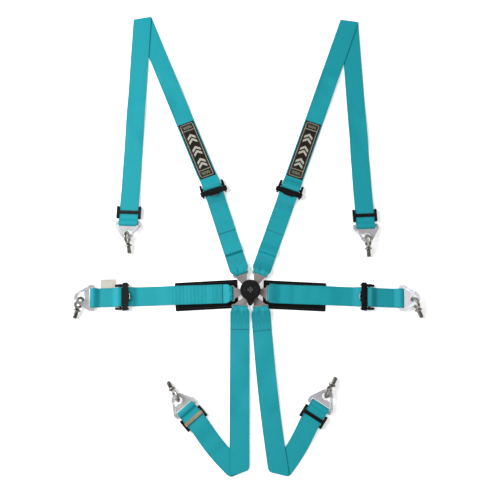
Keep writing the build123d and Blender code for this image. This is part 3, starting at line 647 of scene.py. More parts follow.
class Web:
    """A length of webbing: its centre line, its frame, and how softly it lies.

    narrow gathers it into a tongue's slot. soft is (start, end, height, wave, phase) of the long
    swells. ripple is (start, end) of the fine ripples across. shear is (s, slope) of the fold line,
    and corner rounds the fold's ends. bow is (length, offset) of a slight sideways curve. matrix_in
    is the frame of its first 12 mm, where that differs.
    """

    narrow = False
    soft = matrix_in = shear = ripple = bow = None
    corner = 2.0

    def __init__(self, matrix, line, **ways):
        self.matrix = matrix
        self.line = line
        self.__dict__.update(ways)

    def width(self, s):
        """How wide the webbing is at s, as a share of its full width."""
        if not self.narrow:
            return 1.0
        slim = LOOP_HALF / WEB_HALF
        t = min(max((s - 1.0) / 15.0, 0.0), 1.0)
        return slim + (1 - slim) * (1 - (1 - t) ** 2.2)

    def lift(self, s, v, gathered):
        """How far the webbing stands off its drawn line. gathered is 0 where it is tight on a bar."""
        rise = 0.0
        if self.soft:
            start, end, height, wave, phase = self.soft
            inside = smooth((s - start) / 45) * smooth((end - s) / 45)
            swell = 0.5 + 0.5 * math.sin(2 * math.pi * s / wave + phase + 0.02 * v)
            swell += 0.25 + 0.25 * math.sin(2 * math.pi * s / (wave * 0.43) + 2.1 * phase - 0.03 * v)
            cup = 0.5 * (v / WEB_HALF) ** 2 * math.sin(2 * math.pi * s / (wave * 1.7) + phase)
            dent = noise.noise(Vector((s / 38, v / 30, phase * 3.7)))
            rise += inside * height * (swell / 1.5 + 0.5 + cup + 0.35 * dent)
        if self.ripple:
            start, end = self.ripple
            inside = smooth((s - start) / 12) * smooth((end - s) / 12)
            rise += inside * 0.22 * (1 + math.sin(2 * math.pi * s / 9.6))
        if self.narrow and s > -5:
            pucker = 0.35 * math.exp(-((s - 5.0) / 7.0) ** 2) * (1 + math.cos(2 * math.pi * v / 9.0 + 0.4))
            bulge = 2.0 * math.exp(-((s - 8.0) / 7.0) ** 2) * (1 - math.exp(-(v / 4.5) ** 2))
            rise += gathered * (pucker + bulge)
        return rise

    def point(self, s, v, z, gathered=1.0):
        """The place of a point of the strap's frame, in the row frame."""
        if self.shear:
            end, slope = self.shear
            near = smooth(1 - abs(end - s) / (3 * self.corner + 6))
            beyond = min(1.0, max(0.0, (abs(v) - WEB_HALF + self.corner) / self.corner))
            inset = self.corner * (1 - math.sqrt(1 - beyond * beyond)) * near
            s += v * slope * smooth(1 - abs(end - s) / 90) + (inset if end == 0 else -inset)
        local = Vector((s, v, z + self.lift(s, v, gathered)))
        if self.bow:
            local.y += self.bow[1] * math.sin(math.pi * min(max(s / self.bow[0], 0.0), 1.0))
        place = self.matrix @ local
        if self.matrix_in:
            w = smooth((s - 12) / 50)
            place = place * w + (self.matrix_in @ local) * (1 - w)
        return place, s

    def top(self, s):
        """The height of the webbing's upper face at s."""
        best = 0.0
        for (s0, z0), (s1, z1) in zip(self.line, self.line[1:]):
            if min(s0, s1) <= s <= max(s0, s1) and abs(s1 - s0) > 1e-6:
                best = max(best, z0 + (z1 - z0) * (s - s0) / (s1 - s0))
        return best + WEB_MID

    def build(self, name, body, node=None, columns=24):
        """The mesh: a rounded strip with rolled selvedges. It stands for the CAD node, if given."""
        upper = [-1 + 2 * i / columns for i in range(columns + 1)]
        upper[0], upper[-1] = -0.985, 0.985
        profile = [(-1.0, 0.0)] + [(x, 1.0) for x in upper]
        profile += [(1.0, 0.0)] + [(x, -1.0) for x in reversed(upper)]
        vertices, uvs = [], []
        distance = 0.0
        count = len(self.line)
        for i, (s, z) in enumerate(self.line):
            s_in, z_in = self.line[max(i - 1, 0)]
            s_out, z_out = self.line[min(i + 1, count - 1)]
            if i:
                distance += math.dist(self.line[i - 1], (s, z))
            length = math.hypot(s_out - s_in, z_out - z_in)
            normal = (-(z_out - z_in) / length, (s_out - s_in) / length)
            half = WEB_HALF * self.width(s)
            gathered = smooth(s / 3) if z > self.top(s) - WEB_T else 0.0
            for x, side in profile:
                thick = WEB_MID * side * (SELVEDGE_SWELL if abs(x) > 0.94 else 1.0)
                at_s, at_z = s + normal[0] * thick, z + normal[1] * thick
                place, s_real = self.point(at_s, x * half, at_z, gathered)
                vertices.append(place)
                uvs.append(((distance + s_real - s) * MM, x * WEB_HALF * MM))
        faces = tube_faces(0, count, len(profile))
        piece = make(name, (vertices, faces, uvs), "webbing", body, angle=50)
        if node:
            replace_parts(piece, node)
        return piece

    def stitch(self, paths, length=3.0, gap=1.0, radius=0.38):
        """Stitches along paths of (s, v) points on the upper face, as wires for tube_mesh."""
        lines = []
        for path in paths:
            for (s0, v0), (s1, v1) in zip(path, path[1:]):
                distance = math.dist((s0, v0), (s1, v1))
                count = max(1, round(distance / (length + gap)))
                for i in range(count):
                    wire = []
                    for t, sink in ((0.0, 0.3), (0.2, 0.0), (0.8, 0.0), (1.0, 0.3)):
                        f = (i + 0.5 * gap / (length + gap) + t * length / (length + gap)) / count
                        s, v = s0 + (s1 - s0) * f, v0 + (v1 - v0) * f
                        z = self.top(s) + radius * 0.3 - sink
                        wire.append(self.point(s, v * self.width(s), z)[0])
                    lines.append(wire)
        return lines


def sew(name, lines, body, finish="thread", radius=0.38):
    """A piece made of stitches."""
    return make(name, tube_mesh(lines, radius, 5), finish, body, angle=80)


def zigzag(s0, s1, v_half, strokes):
    """A W of stitching between two lines across the strap."""
    points = []
    for i in range(strokes + 1):
        points.append((s0 if i % 2 == 0 else s1, -v_half + 2 * v_half * i / strokes))
    return points


def boxed(s0, s1, v_half):
    """A closed rectangle of stitching."""
    return [(s0, -v_half), (s1, -v_half), (s1, v_half), (s0, v_half), (s0, -v_half)]


def rows_across(values, v_half):
    """Straight rows of stitching across the strap."""
    return [[(s, -v_half), (s, v_half)] for s in values]


# ---------------------------------------------------------------- shoulder straps


def fold_geometry(side):
    """The fold's centre and the direction of its line."""
    name = f"shoulder_fold_open_{side}"
    line = joint_axis(name)
    return joint_point(name), Vector((line.x, line.y, 0)).normalized()


def slant(matrix, line):
    """How S changes with V along a fold line, in a strap's frame."""
    s = matrix.col[0].to_3d().dot(line)
    v = matrix.col[1].to_3d().dot(line)
    return s / v


def fold_strip(name, line, before, before_z, after, after_z, body):
    """The turn of webbing along a fold line, from the end of one web to the start of the next."""
    out = Vector((-line.y, line.x, 0))
    if out.dot(before.matrix.col[0].to_3d()) < 0:
        out = -out
    half = WEB_HALF / abs(line.dot(before.matrix.col[1].to_3d()))
    low, high = sorted((before_z, after_z))
    layers = (before, after) if before_z < after_z else (after, before)
    radius, middle = (high - low) / 2, (high + low) / 2
    columns, steps = 24, 10

    def spot(layer, i, k):
        a = math.radians(-90 + 180 * i / steps)
        r = radius + WEB_MID * (1 if layer else -1)
        x = -half + 2 * half * k / columns
        ends = []
        for web in layers:
            v = min(WEB_HALF, max(-WEB_HALF, x * line.dot(web.matrix.col[1].to_3d())))
            ends.append(web.point(web.shear[0], v, 0)[0])
        place = ends[0].lerp(ends[1], (1 + math.sin(a)) / 2) + out * (r * math.cos(a))
        return (place.x, place.y, middle + r * math.sin(a)), (r * a * MM, x / half * WEB_HALF * MM)

    return make(name, closed_sheet(steps, columns, spot), "webbing", body, angle=60)


def anchor_path(length, first, lowered):
    """The centre line from a fold to the anchor bar and back under the slide to its loose end."""
    slide = length - SLIDE_FROM_ANCHOR
    raised, floor = slide - SLIDE_HALF_LENGTH - 4, slide - 70
    loose, opened = max(slide - 130, lowered + 84), length - 11
    low, high = WEB_MID, WEB_MID + WEB_T
    return track(
        (0, first), (lowered, first), (lowered + 60, low), (loose - 24, low), (loose, high),
        (max(floor, loose + 1), high), (raised, SLIDE_WEB_Z + high), (opened, SLIDE_WEB_Z + high),
        (length - 2, ANCHOR_Z + ANCHOR_ARC, 1.5),
        turn(length + LOOP_SLACK, ANCHOR_Z, ANCHOR_ARC, 90, -90),
        (length, ANCHOR_Z - ANCHOR_ARC, 0), (opened, SLIDE_WEB_Z + low, 1.5), (raised, SLIDE_WEB_Z + low),
        (max(floor, loose + 3), low), (loose + 2, low),
    )


def sealed(name, web, s, way, body):
    """A dark line across the cut end at s: painted shadow of the layer's step, and the darker heat-fused edge; way
    points towards its layer.
    """
    z = web.top(s + way * 0.6) - WEB_MID
    line = [web.point(s, v, z)[0] for v in range(-24, 25, 2)]
    make(name, tube_mesh([line], 0.72), "sealed", body, angle=80)


def shoulder_lower(side, near, adjuster):
    """From the tongue, where its end is sewn beneath it, to the adjuster and back on top of itself."""
    low, high = WEB_MID, WEB_MID + WEB_T
    bar, crest, sewn = span(near, adjuster) - BAR_S, 59.0, 118.0
    line = track(
        (46, low), (30, low), (0, TONGUE_Z - TONGUE_ARC, 2), turn(0, TONGUE_Z, TONGUE_ARC, 270, 90),
        (34, high + 0.2, 2), (crest - 7, high, 2), (crest, 8.8, 0.8), (88, 1.4, 1.5), (98, low, 2),
        (bar - 30, low), (bar, BAR_Z - BAR_ARC, 2), turn(bar, BAR_Z, BAR_ARC, -90, 90),
        (bar - 30, high, 2), (sewn, high),
    )
    body = f"shoulder_lower_{side}"
    web = Web(near, line, narrow=True, soft=(96, bar - 20, 0.9, 70, 0.4))
    web.build(f"shoulder_lower_webbing_{side}", body, f"shoulder_lower_strap_{side}")
    paths = [zigzag(9, 43, 20, 10), boxed(7, 45, SEWN_HALF)]
    paths += [zigzag(bar - 42, bar - 26, 20, 8), boxed(bar - 44, bar - 24, SEWN_HALF)]
    sew(f"shoulder_lower_stitching_{side}", web.stitch(paths), body)
    sealed(f"shoulder_lower_cut_end_{side}", web, sewn, 1, body)


def shoulder_strap(side):
    """Lower, upper and tail webbing of one shoulder, with stitching and the fold."""
    low, high, over = WEB_MID, WEB_MID + WEB_T, OVER_Z + WEB_MID
    near, adjuster = strap_frame("shoulder", side), adjuster_frame("shoulder", side)
    shoulder_lower(side, near, adjuster)

    upper_body, tail_body = f"shoulder_upper_{side}", f"shoulder_tail_{side}"
    fold, fold_line = fold_geometry(side)
    along_upper = flat_frame(adjuster.to_translation(), joint_axis(f"shoulder_length_{side}"))
    upper_length = (Vector((fold.x, fold.y, 0)) - adjuster.to_translation()).length
    tail = anchor_frame("shoulder", side)
    along_tail = flat_frame(fold, tail.col[0].to_3d())
    tail_length = span(along_tail, tail)
    on_top = tail_on_top(side)
    rise = upper_length + 2 * WEB_HALF - 260
    lifted = [(rise, low), (rise + 40, over), (upper_length, over)]
    line = track(
        (180, low), (40, low), (BAR_S, BAR_Z - BAR_ARC, 2), turn(BAR_S, BAR_Z, BAR_ARC, -90, -270),
        (13, 12.6, 1.5), (38, high, 1.5), (180, high), (200, low),
        *([(upper_length, low)] if on_top else lifted),
    )
    upper = Web(
        along_upper, line, matrix_in=adjuster, shear=(upper_length, slant(along_upper, fold_line)),
        soft=(215, upper_length - 150, 3.0, 150 if on_top else 175, 1.1),
    )
    piece = upper.build(f"shoulder_upper_webbing_{side}", None, f"shoulder_upper_strap_{side}")
    leaving, freed = (along_upper @ Vector((s, 0, 0)) * MM for s in (BAR_S + 6, PATCH_START - 2))
    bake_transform(piece)
    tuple(leaving)
    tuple(freed)
    shoulder_patch(side, upper)

    tail_web = Web(
        along_tail, anchor_path(tail_length, over if on_top else low, 150.0),
        soft=(225, tail_length - 190, 2.8, 160, 2.3 if on_top else 0.2),
        shear=(0.0, slant(along_tail, fold_line)),
    )
    tail_web.build(f"shoulder_tail_webbing_{side}", tail_body, f"shoulder_tail_strap_{side}")
    near_z, far_z = (low, over) if on_top else (over, low)
    strip = fold_strip(f"shoulder_fold_webbing_{side}", fold_line, upper, near_z, tail_web, far_z, None)
    start, end = (Vector((fold.x, fold.y, z)) * MM for z in (near_z, far_z))
    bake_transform(strip)
    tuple(start)
    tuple(end)


def tail_on_top(side):
    """True where the tail lies over the upper strap: the fold then opens by lifting the tail."""
    name = f"shoulder_fold_open_{side}"
    arm = anchor_frame("shoulder", side).to_translation() - joint_point(name)
    return joint_axis(name).cross(Vector((arm.x, arm.y, 0))).z > 0


def rounded_outline(s0, s1, half, corner):
    """The points of a rounded rectangle, closely spaced."""
    points = []
    for cs, cv, start in ((s1, half, 0), (s0, half, 90), (s0, -half, 180), (s1, -half, 270)):
        cs += -corner if cs == s1 else corner
        cv += -corner if cv > 0 else corner
        for a in range(start, start + 91, 15):
            points.append((cs + corner * math.cos(math.radians(a)), cv + corner * math.sin(math.radians(a))))
    dense = []
    for p, q in zip(points, points[1:] + points[:1]):
        steps = max(1, math.ceil(math.dist(p, q) / 3))
        for k in range(steps):
            dense.append((p[0] + (q[0] - p[0]) * k / steps, p[1] + (q[1] - p[1]) * k / steps))
    return dense


def shoulder_patch(side, web):
    """The woven patch: thin bordered boxes, hatched ends and a plain motif of chevrons."""
    rows, columns = 56, 16
    first, last = PATCH_START, PATCH_START + PATCH_LENGTH
    body = f"shoulder_upper_{side}"

    def spot(s, v, rise):
        return web.point(s, v, web.top(s) + rise)[0]

    def cloth_spot(layer, i, k):
        s, v = PATCH_START + PATCH_LENGTH * i / rows, PATCH_HALF * (-1 + 2 * k / columns)
        rim = k in (0, columns) or i in (0, rows)
        return spot(s, v, (0.4 if rim else 0.75) if layer else 0.02), (s * MM, v * MM)

    def finished(name, shape, finish):
        return make(f"shoulder_patch{name}_{side}", shape, finish, body, angle=60)

    def outline(start, end, inset, corner):
        return [spot(s, v, 0.75) for s, v in rounded_outline(start, end, PATCH_HALF - inset, corner)]

    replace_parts(finished("", closed_sheet(rows, columns, cloth_spot), "patch"), f"shoulder_patch_{side}")

    border = outline(first + 4.4, last - 4.4, 4.4, 4.0)
    reach = PATCH_HALF - 4.4
    crossing = [[spot(s, v, 0.75) for v in (-reach, 0.0, reach)] for s in (first + 23.7, last - 23.7)]
    border_shape = merged(tube_mesh([border], 0.62, 6, closed=True), tube_mesh(crossing, 0.62, 6))
    finished("_border", border_shape, "patch_border")
    boxes = [
        outline(first + 7.4, first + 22.0, 7.2, 1.6),
        outline(last - 22.0, last - 7.4, 7.2, 1.6),
        outline(first + 25.4, last - 25.4, 7.2, 1.0),
    ]
    finished("_inner_line", tube_mesh(boxes, 0.26, 6, closed=True), "patch_inner")

    hatch = []
    for s in (first + 14.4, last - 14.4):
        for i in range(11):
            v = -10.5 + 2.1 * i
            reach = 4.4 if i % 3 else 3.2
            hatch.append([spot(s - reach, v - 0.8, 0.76), spot(s, v, 0.84), spot(s + reach, v + 0.8, 0.76)])
    finished("_hatching", tube_mesh(hatch, 0.5, 5), "patch_hatch")

    middle, tip, wide, half = (first + last) / 2, 9.5, 7.6, 11.5
    shapes = []
    for step in (-1, 0, 1):
        for shift in (-8.0, 4.5):
            c = middle + 37 * step + shift
            arm = [(c, 0), (c - tip, -half), (c - tip + wide, -half), (c + wide, 0)]
            shapes += [arm, [(s, -v) for s, v in reversed(arm)]]
    finished("_motif", raised_shapes(shapes, spot), "patch_motif")


def raised_shapes(shapes, spot):
    """Low embroidered shapes with rounded rims."""
    vertices, faces = [], []
    for shape in shapes:
        count = len(shape)
        faces += tube_faces(len(vertices), 3, count)
        centre_s, centre_v = (sum(p[axis] for p in shape) / count for axis in (0, 1))
        for grow, rise in ((1.0, 0.6), (0.97, 1.05), (0.55, 1.12)):
            for s, v in shape:
                s, v = centre_s + (s - centre_s) * grow, centre_v + (v - centre_v) * grow
                vertices.append(spot(s, v, rise))
    return vertices, faces


# ---------------------------------------------------------------- lap straps


def lap_strap(side):
    """The sewn loop at the tongue, the long strap over it, and the short strap to the anchor."""
    near, adjuster = strap_frame("lap", side), adjuster_frame("lap", side)
    length = span(near, adjuster)
    low, over = FLOOR_CLEAR + WEB_MID, OVER_PAD + WEB_MID
    second, third = over + WEB_T, over + 2 * WEB_T
    bar, left = length - BAR_S, side == "left"
    body = f"lap_{side}"
    start, end = (near @ Vector((s, 0, 0)) * MM for s in (40, length - 15))
    loop = track(
        (52, second), (24, second), (0, TONGUE_Z + TONGUE_ARC, 2),
        turn(0, TONGUE_Z, TONGUE_ARC, 90, 270), (20, over, 2), (150, over),
    )
    piece = Web(near, loop, narrow=True).build(f"lap_loop_webbing_{side}", None)
    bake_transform(piece)
    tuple(start)
    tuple(end)
    cut = 24.0 if left else 0.3
    line = track(
        *([(cut, third)] if left else [(cut, 13.7), (32, third, 2)]),
        (50, third), (66, second), (PAD_CLEAR_S, second, 2), (PAD_CLEAR_S + 38, low + WEB_T),
        (bar - 30, low + WEB_T), (bar, BAR_Z + BAR_ARC, 2), turn(bar, BAR_Z, BAR_ARC, 90, -90),
        (bar - 30, low, 2), (PAD_CLEAR_S + 42, low),
    )
    soft = (60, 190, 1.2, 85, 0.9 if left else 2.6)
    web = Web(near, line, soft=soft, ripple=(38, 172) if left else None)
    piece = web.build(f"lap_webbing_{side}", None, f"lap_strap_{side}")
    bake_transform(piece)
    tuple(start)
    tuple(end)
    rows = rows_across((28.0, 38.5) if left else (3.0, 7.5, 12.0), 22)
    sew(f"lap_stitching_{side}", web.stitch(rows), body)
    sealed(f"lap_cut_end_{side}", web, cut, 1, body)
    lap_short(side, adjuster)


def lap_short(side, adjuster):
    """The sewn loop between the adjuster and the anchor, with wavy rows across it."""
    short = span(adjuster, anchor_frame("lap", side))
    low = FLOOR_CLEAR + WEB_MID
    high = low + WEB_T
    line = track(
        (40, low), (34, low), (BAR_S, BAR_Z - BAR_ARC, 2), turn(BAR_S, BAR_Z, BAR_ARC, 270, 90),
        (12, 12.2, 1.5), (30, high, 1.5), (short - 18, high), (short, ANCHOR_Z + ANCHOR_ARC, 2),
        turn(short + LOOP_SLACK, ANCHOR_Z, ANCHOR_ARC, 90, -90),
        (short, ANCHOR_Z - ANCHOR_ARC, 0), (short - 18, low, 2), (41, low),
    )
    body = f"lap_end_{side}"
    web = Web(adjuster, line)
    web.build(f"lap_short_webbing_{side}", body, f"lap_short_strap_{side}")
    first, last = 28.0, short - 20
    paths = []
    for i in range(6):
        s = first + (last - first) * i / 5
        paths.append([(s + 1.5 * math.sin(0.9 * x), -21 + 42 * x / 12) for x in range(13)])
    paths += [[(first - 2, v), (last + 2, v)] for v in (-SEWN_HALF, SEWN_HALF)]
    sew(f"lap_short_stitching_{side}", web.stitch(paths), body)


def node_centre(node):
    """The centre of a CAD node, on the ground."""
    low, high = (Vector(c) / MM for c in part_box(node))
    return Vector(((low.x + high.x) / 2, (low.y + high.y) / 2, 0))


def lap_pad(side):
    """The padded cloth under the strap: a crowned pad with bound, stitched edges."""
    node, body = f"lap_pad_{side}", f"lap_{side}"
    tilt = math.radians(3.2 if side == "left" else -2.8)
    way = -1 if side == "left" else 1
    place = flat_frame(node_centre(node), Vector((way * math.cos(tilt), way * math.sin(tilt), 0)))
    half_s, half_v = 81.6, 37.2
    rows, columns = 66, 30
    seed = 7.0 if side == "left" else 2.0

    def crown(x, y):
        """The height at x, y, each from -1 to 1: proud edge, hollow next to it, soft middle."""
        d = min((1 - abs(x)) * half_s, (1 - abs(y)) * half_v)
        bound = math.exp(-((d - 2.2) / 2.2) ** 2) * 0.5
        under = math.exp(-((y * half_v) / 27.0) ** 8)
        puff = (0.62 + 0.38 * noise.noise(Vector((x * 3.1, y * 1.9, seed)))) * smooth(d / 9.0)
        return 2.35 * min((0.35 + max(bound, puff * 0.9)) * (1 - 0.30 * under), 1.0)

    def spot(layer, i, k):
        x, y = -1 + 2 * i / rows, -1 + 2 * k / columns
        corner = smooth((abs(x) * half_s - half_s + 6) / 6) * smooth((abs(y) * half_v - half_v + 6) / 6)
        sag = 0.36 * math.sin(3 * x + seed) * (1 - abs(y))
        s, v = x * (half_s - 1.6 * corner), y * (half_v - 1.6 * corner) + sag
        return (s, v, crown(x, y) if layer else 0.06), (s * MM, v * MM)

    vertices, faces, _ = closed_sheet(rows, columns, spot)
    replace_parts(make(f"lap_pad_cloth_{side}", (vertices, faces), "pad", body, place, angle=70), node)

    def rim(inset, z):
        points = []
        corners = ((1, 1), (-1, 1), (-1, -1), (1, -1))
        for (a, b), (c, d) in zip(corners, corners[1:] + corners[:1]):
            steps = 40 if b == d else 18
            for k in range(steps):
                t = k / steps
                points.append(((half_s - inset) * (a + (c - a) * t), (half_v - inset) * (b + (d - b) * t), z))
        return points

    binding = tube_mesh([rim(0.9, 1.25)], 1.15, closed=True)
    make(f"lap_pad_binding_{side}", binding, "pad_binding", body, place, angle=80)
    path = rim(5.2, 0)
    lines = []
    for p, q in zip(path, path[1:] + path[:1]):
        wire = []
        for t, drop in ((0.12, 0.3), (0.3, 0.0), (0.7, 0.0), (0.88, 0.3)):
            s, v = p[0] + (q[0] - p[0]) * t, p[1] + (q[1] - p[1]) * t
            wire.append(place @ Vector((s, v, crown(s / half_s, v / half_v) + 0.12 - drop)))
        lines.append(wire)
    sew(f"lap_pad_stitching_{side}", lines, body, "pad_thread", 0.32)


def care_label():
    """The folded cotton label: soft, slightly curled, with hemmed ends."""
    place = flat_frame(node_centre("care_label"), strap_frame("lap", "left").col[0].to_3d())
    half_s, half_v = 20.5, 15.0
    rows, columns = 26, 18

    def spot(layer, i, k):
        x, y = -1 + 2 * i / rows, -1 + 2 * k / columns
        free = smooth((-y + 0.35) / 1.2)
        wave = 0.9 * free * (0.6 + 0.5 * math.sin(2.6 * x + 0.6) + 0.3 * math.sin(5.1 * x))
        hem = 0.18 if abs(x) > 0.88 or y < -0.86 else 0.0
        z = 0.08 + max(0.0, wave) + (0.42 + hem) * layer
        return (x * half_s, y * half_v, z), (x * half_s * MM, y * half_v * MM)

    sheet = closed_sheet(rows, columns, spot)
    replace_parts(make("care_label_cloth", sheet, "label", "lap_end_left", place, angle=70), "care_label")


# ---------------------------------------------------------------- crotch straps


def crotch_strap(side):
    """Down to the fold and back up under itself to the anchor, in one body."""
    near, anchor = strap_frame("crotch", side), anchor_frame("crotch", side)
    s_near, s_end = near.col[0].to_3d(), anchor.col[0].to_3d()
    delta = anchor.to_translation() - near.to_translation()
    turned = s_near.cross(s_end).z
    length = delta.cross(s_end).z / turned
    end_length = s_near.cross(delta).z / turned
    along_end = flat_frame(near.to_translation() + s_near * length, s_end)
    fold_line = (s_near + s_end).normalized()
    low, high, over = WEB_MID, WEB_MID + WEB_T, OVER_Z + WEB_MID
    body, left = f"crotch_{side}", side == "left"
    rise = length - 160
    line = track(
        (57, high + 0.1), (46, high), (0, TONGUE_Z + TONGUE_ARC, 2), turn(0, TONGUE_Z, TONGUE_ARC, 90, 270),
        (46, low, 2), (rise, low), (rise + 50, over), (length, over),
    )
    web = Web(
        near, line, narrow=True, soft=(62, rise + 40, 2.6, 130, 0.7 if left else 2.9),
        shear=(length, slant(near, fold_line)), corner=7.0, bow=(length, 0.0 if left else -4.5),
    )
    web.build(f"crotch_webbing_{side}", body, f"crotch_strap_{side}")
    sew(f"crotch_stitching_{side}", web.stitch([boxed(10, 54, SEWN_HALF), zigzag(12, 52, 20, 8)]), body)
    sealed(f"crotch_cut_end_{side}", web, 57.0, -1, body)
    under = Web(
        along_end, anchor_path(end_length, low, 10.0), shear=(0.0, slant(along_end, fold_line)), corner=7.0,
        bow=(end_length - 50, 5.0 if left else -5.0),
    )
    under.build(f"crotch_end_webbing_{side}", body)
    fold_strip(f"crotch_fold_webbing_{side}", fold_line, web, over, under, low, body)


# ---------------------------------------------------------------- hardware


def lathe(profile, sides):
    """A shape turned about the x axis from its (x, radius) profile, with flat ends."""
    vertices = [(x, y, z) for x, r in profile for y, z in circle(r, sides)]
    return vertices, tube_faces(0, len(profile), sides)


def eyebolt(strap, side):
    """Forged ring, neck and collar, and a cut thread with a chamfered end."""
    around, sides = 72, 24
    ring = []
    for c, s in circle(1.0, around):
        a = math.atan2(s, c)
        wire = EYE_WIRE_R * (1 + 0.02 * math.sin(3 * a)) - 0.05 * max(0.0, c) ** 3
        for across, up in circle(1.0, sides):
            r = wire + 0.16 * abs(across) ** 40
            reach = EYE_R + r * across
            ring.append((reach * c, r * up, reach * s))

    end = COLLAR_X + COLLAR_T
    collar = lathe([
        (14.0, 3.4), (15.0, 4.3), (16.2, 5.2), (17.4, 6.2), (18.2, 7.6), (18.5, 8.7), (18.9, 9.25),
        (19.6, COLLAR_R), (21.4, COLLAR_R), (22.1, 9.25), (end, 8.7), (end, 6.6), (end + 0.5, 5.3),
        (end + 0.9, 4.8),
    ], 40)

    start, stop, sides_cut = end + 0.6, end + THREAD_LENGTH, 28
    steps = round((stop - start) / THREAD_PITCH * 8)
    thread_points = []
    for i in range(steps + 1):
        x = start + (stop - start) * i / steps
        for k, (y, z) in enumerate(circle(1.0, sides_cut)):
            wave = abs(((x / THREAD_PITCH - k / sides_cut) % 1) * 2 - 1)
            cut = THREAD_R - 0.68 * min(1.0, max(0.0, wave * 1.35 - 0.18))
            r = min(cut, THREAD_R - max(0.0, x - stop + 1.4))
            thread_points.append((x, r * y, r * z))

    for part, shape, angle in (
        ("ring", (ring, tube_faces(0, around, sides, closed=True)), 60),
        ("collar", collar, 35),
        ("thread", (thread_points, tube_faces(0, steps + 1, sides_cut)), 45),
    ):
        name = f"{strap}_eye_{part}_{side}"
        piece = make(name, shape, "forged", f"{strap}_eyebolt_{side}", eye_frame(strap, side), angle)
        if part == "ring":
            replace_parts(piece, f"{strap}_eyebolt_{side}")


def hook_details(strap, side):
    """The gate's spring wire and the rivets' rounded heads."""
    place, g = plate_frame(strap, side), gate_side(strap, side)
    body = f"{strap}_anchor_gate_{side}"
    px, py = GATE_PIVOT[0], g * GATE_PIVOT[1]
    wire = []
    for i in range(23):
        a = math.radians(200 - 10 * i)
        wire.append((px + 4.3 * math.cos(a), py + g * 4.3 * math.sin(a), 2.9 + 0.25 * i / 22))
    wire += [(px + 4.3 + 3 * i, py - g * (1.5 + 1.45 * i), 3.15 + 0.05 * i) for i in range(1, 6)]
    make(f"{strap}_gate_spring_{side}", tube_mesh([wire], 0.36), "steel", body, place, angle=80)
    tip = Vector((GATE_TIP[0], g * GATE_TIP[1], 0))
    heads = []
    for share in (0.62, 0.86):
        spot = Vector((px, py, 0)).lerp(tip, share)
        rings = ((1.55, 2.5), (1.5, 2.85), (1.1, 3.1), (0.4, 3.2))
        points = [(spot.x + x, spot.y + y, z) for r, z in rings for x, y in circle(r, 18)]
        heads.append((points, tube_faces(0, len(rings), 18)))
    make(f"{strap}_gate_rivets_{side}", merged(*heads), "steel", body, place, angle=50)


def lever_ribs(strap, side):
    """Grip ribs across the adjuster lever's thumb lip, and a bright strip on its edge: a painted glint."""
    place, body = adjuster_frame(strap, side), f"{strap}_adjuster_lever_{side}"
    ribs = []
    for i in range(4):
        s = -8.0 - 2.2 * i
        reach = math.sqrt(28.0 ** 2 - (s - 10.0) ** 2) - 3.5
        ribs.append([(s, -reach + 2 * reach * k / 12, 15.62) for k in range(13)])
    make(f"{strap}_lever_ribs_{side}", tube_mesh(ribs, 0.45), "coat", body, place, angle=70)
    # A bright steel strip along the thumb lip's edge: a painted glint.
    angles = [math.radians(165 + 30 * k / 12) for k in range(13)]
    edge = [(10.0 + 27.7 * math.cos(a), 27.7 * math.sin(a), 15.45) for a in angles]
    make(f"{strap}_lever_rubbed_edge_{side}", tube_mesh([edge], 0.5), "steel", body, place, angle=80)


def bar_block(outline, v0, v1, rim=0.8):
    """A bar across the strap with rounded ends: outline is its (s, z) profile."""
    count = len(outline)
    centre_s, centre_z = (sum(p[axis] for p in outline) / count for axis in (0, 1))
    ends = [(0.0, 0.86), (0.3 * rim, 0.95), (rim, 1.0)]
    rings = [(v0 + inset, grow) for inset, grow in ends]
    rings += [(v1 - inset, grow) for inset, grow in reversed(ends)]
    vertices = [
        (centre_s + (s - centre_s) * grow, v, centre_z + (z - centre_z) * grow)
        for v, grow in rings for s, z in outline
    ]
    return vertices, tube_faces(0, len(rings), count)


def side_bars(name, body, place, s_range, z_range, v_in, v_out):
    """A pair of rounded cheeks beside the webbing."""
    middle, half = sum(z_range) / 2, (z_range[1] - z_range[0]) / 2
    outline = [(s, middle + z) for s, z in rounded_outline(*s_range, half, 3.0)]
    pair = merged(bar_block(outline, v_in, v_out), bar_block(outline, -v_out, -v_in))
    make(name, pair, "coat", body, place, angle=50)


def band(r0, r1, a0, a1, z):
    """A flat arc of a ring, standing 0.1 mm proud of height z."""
    steps = 24
    vertices = []
    for i in range(steps + 1):
        a = math.radians(a0 + (a1 - a0) * i / steps)
        for r, rise in ((r0, -0.12), (r0, 0.1), (r1, 0.1), (r1, -0.12)):
            vertices.append((r * math.cos(a), r * math.sin(a), z + rise))
    return vertices, tube_faces(0, steps + 1, 4)


def arrow(angle, z):
    """A plain arrowhead on the knob's ring, pointing counterclockwise."""
    a = math.radians(angle)
    tangent = Vector((-math.sin(a), math.cos(a), 0))
    radial = Vector((math.cos(a), math.sin(a), 0))
    corners = [radial * 21.5, radial * 17.7, radial * 19.6 + tangent * 3.2]
    vertices = [(c.x, c.y, z + rise) for rise in (-0.12, 0.1) for c in corners]
    return vertices, tube_faces(0, 2, 3)


def knob_details():
    """The knob's raised rim, its inset face ring and plain turn arrows."""
    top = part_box("rotary_lever")[1][2] / MM
    rings = ((15.0, -0.5), (15.2, 0.1), (15.9, 0.35), (16.6, 0.1), (16.8, -0.5))
    points = [(x, y, top + rise) for r, rise in rings for x, y in circle(r, 72)]
    rim = (points, tube_faces(0, len(rings), 72, closed=True))
    marks, emblem = [], []
    for middle in (0, 120, 240):
        marks += [band(19.1, 20.1, middle + 62, middle + 118, top), arrow(middle + 118, top)]
    for middle in (0, 90, 180, 270):
        emblem.append(band(5.2, 6.6, middle - 30, middle + 30, top + 0.05))
        emblem.append(band(1.6, 3.6, middle - 28, middle + 28, top + 0.05))
    make("knob_face_ring", rim, "knob", "lever", angle=60)
    make("knob_turn_marks", merged(*marks), "housing", "lever", slot="black_plastic")
    make("knob_emblem", merged(*emblem), "mark", "lever")


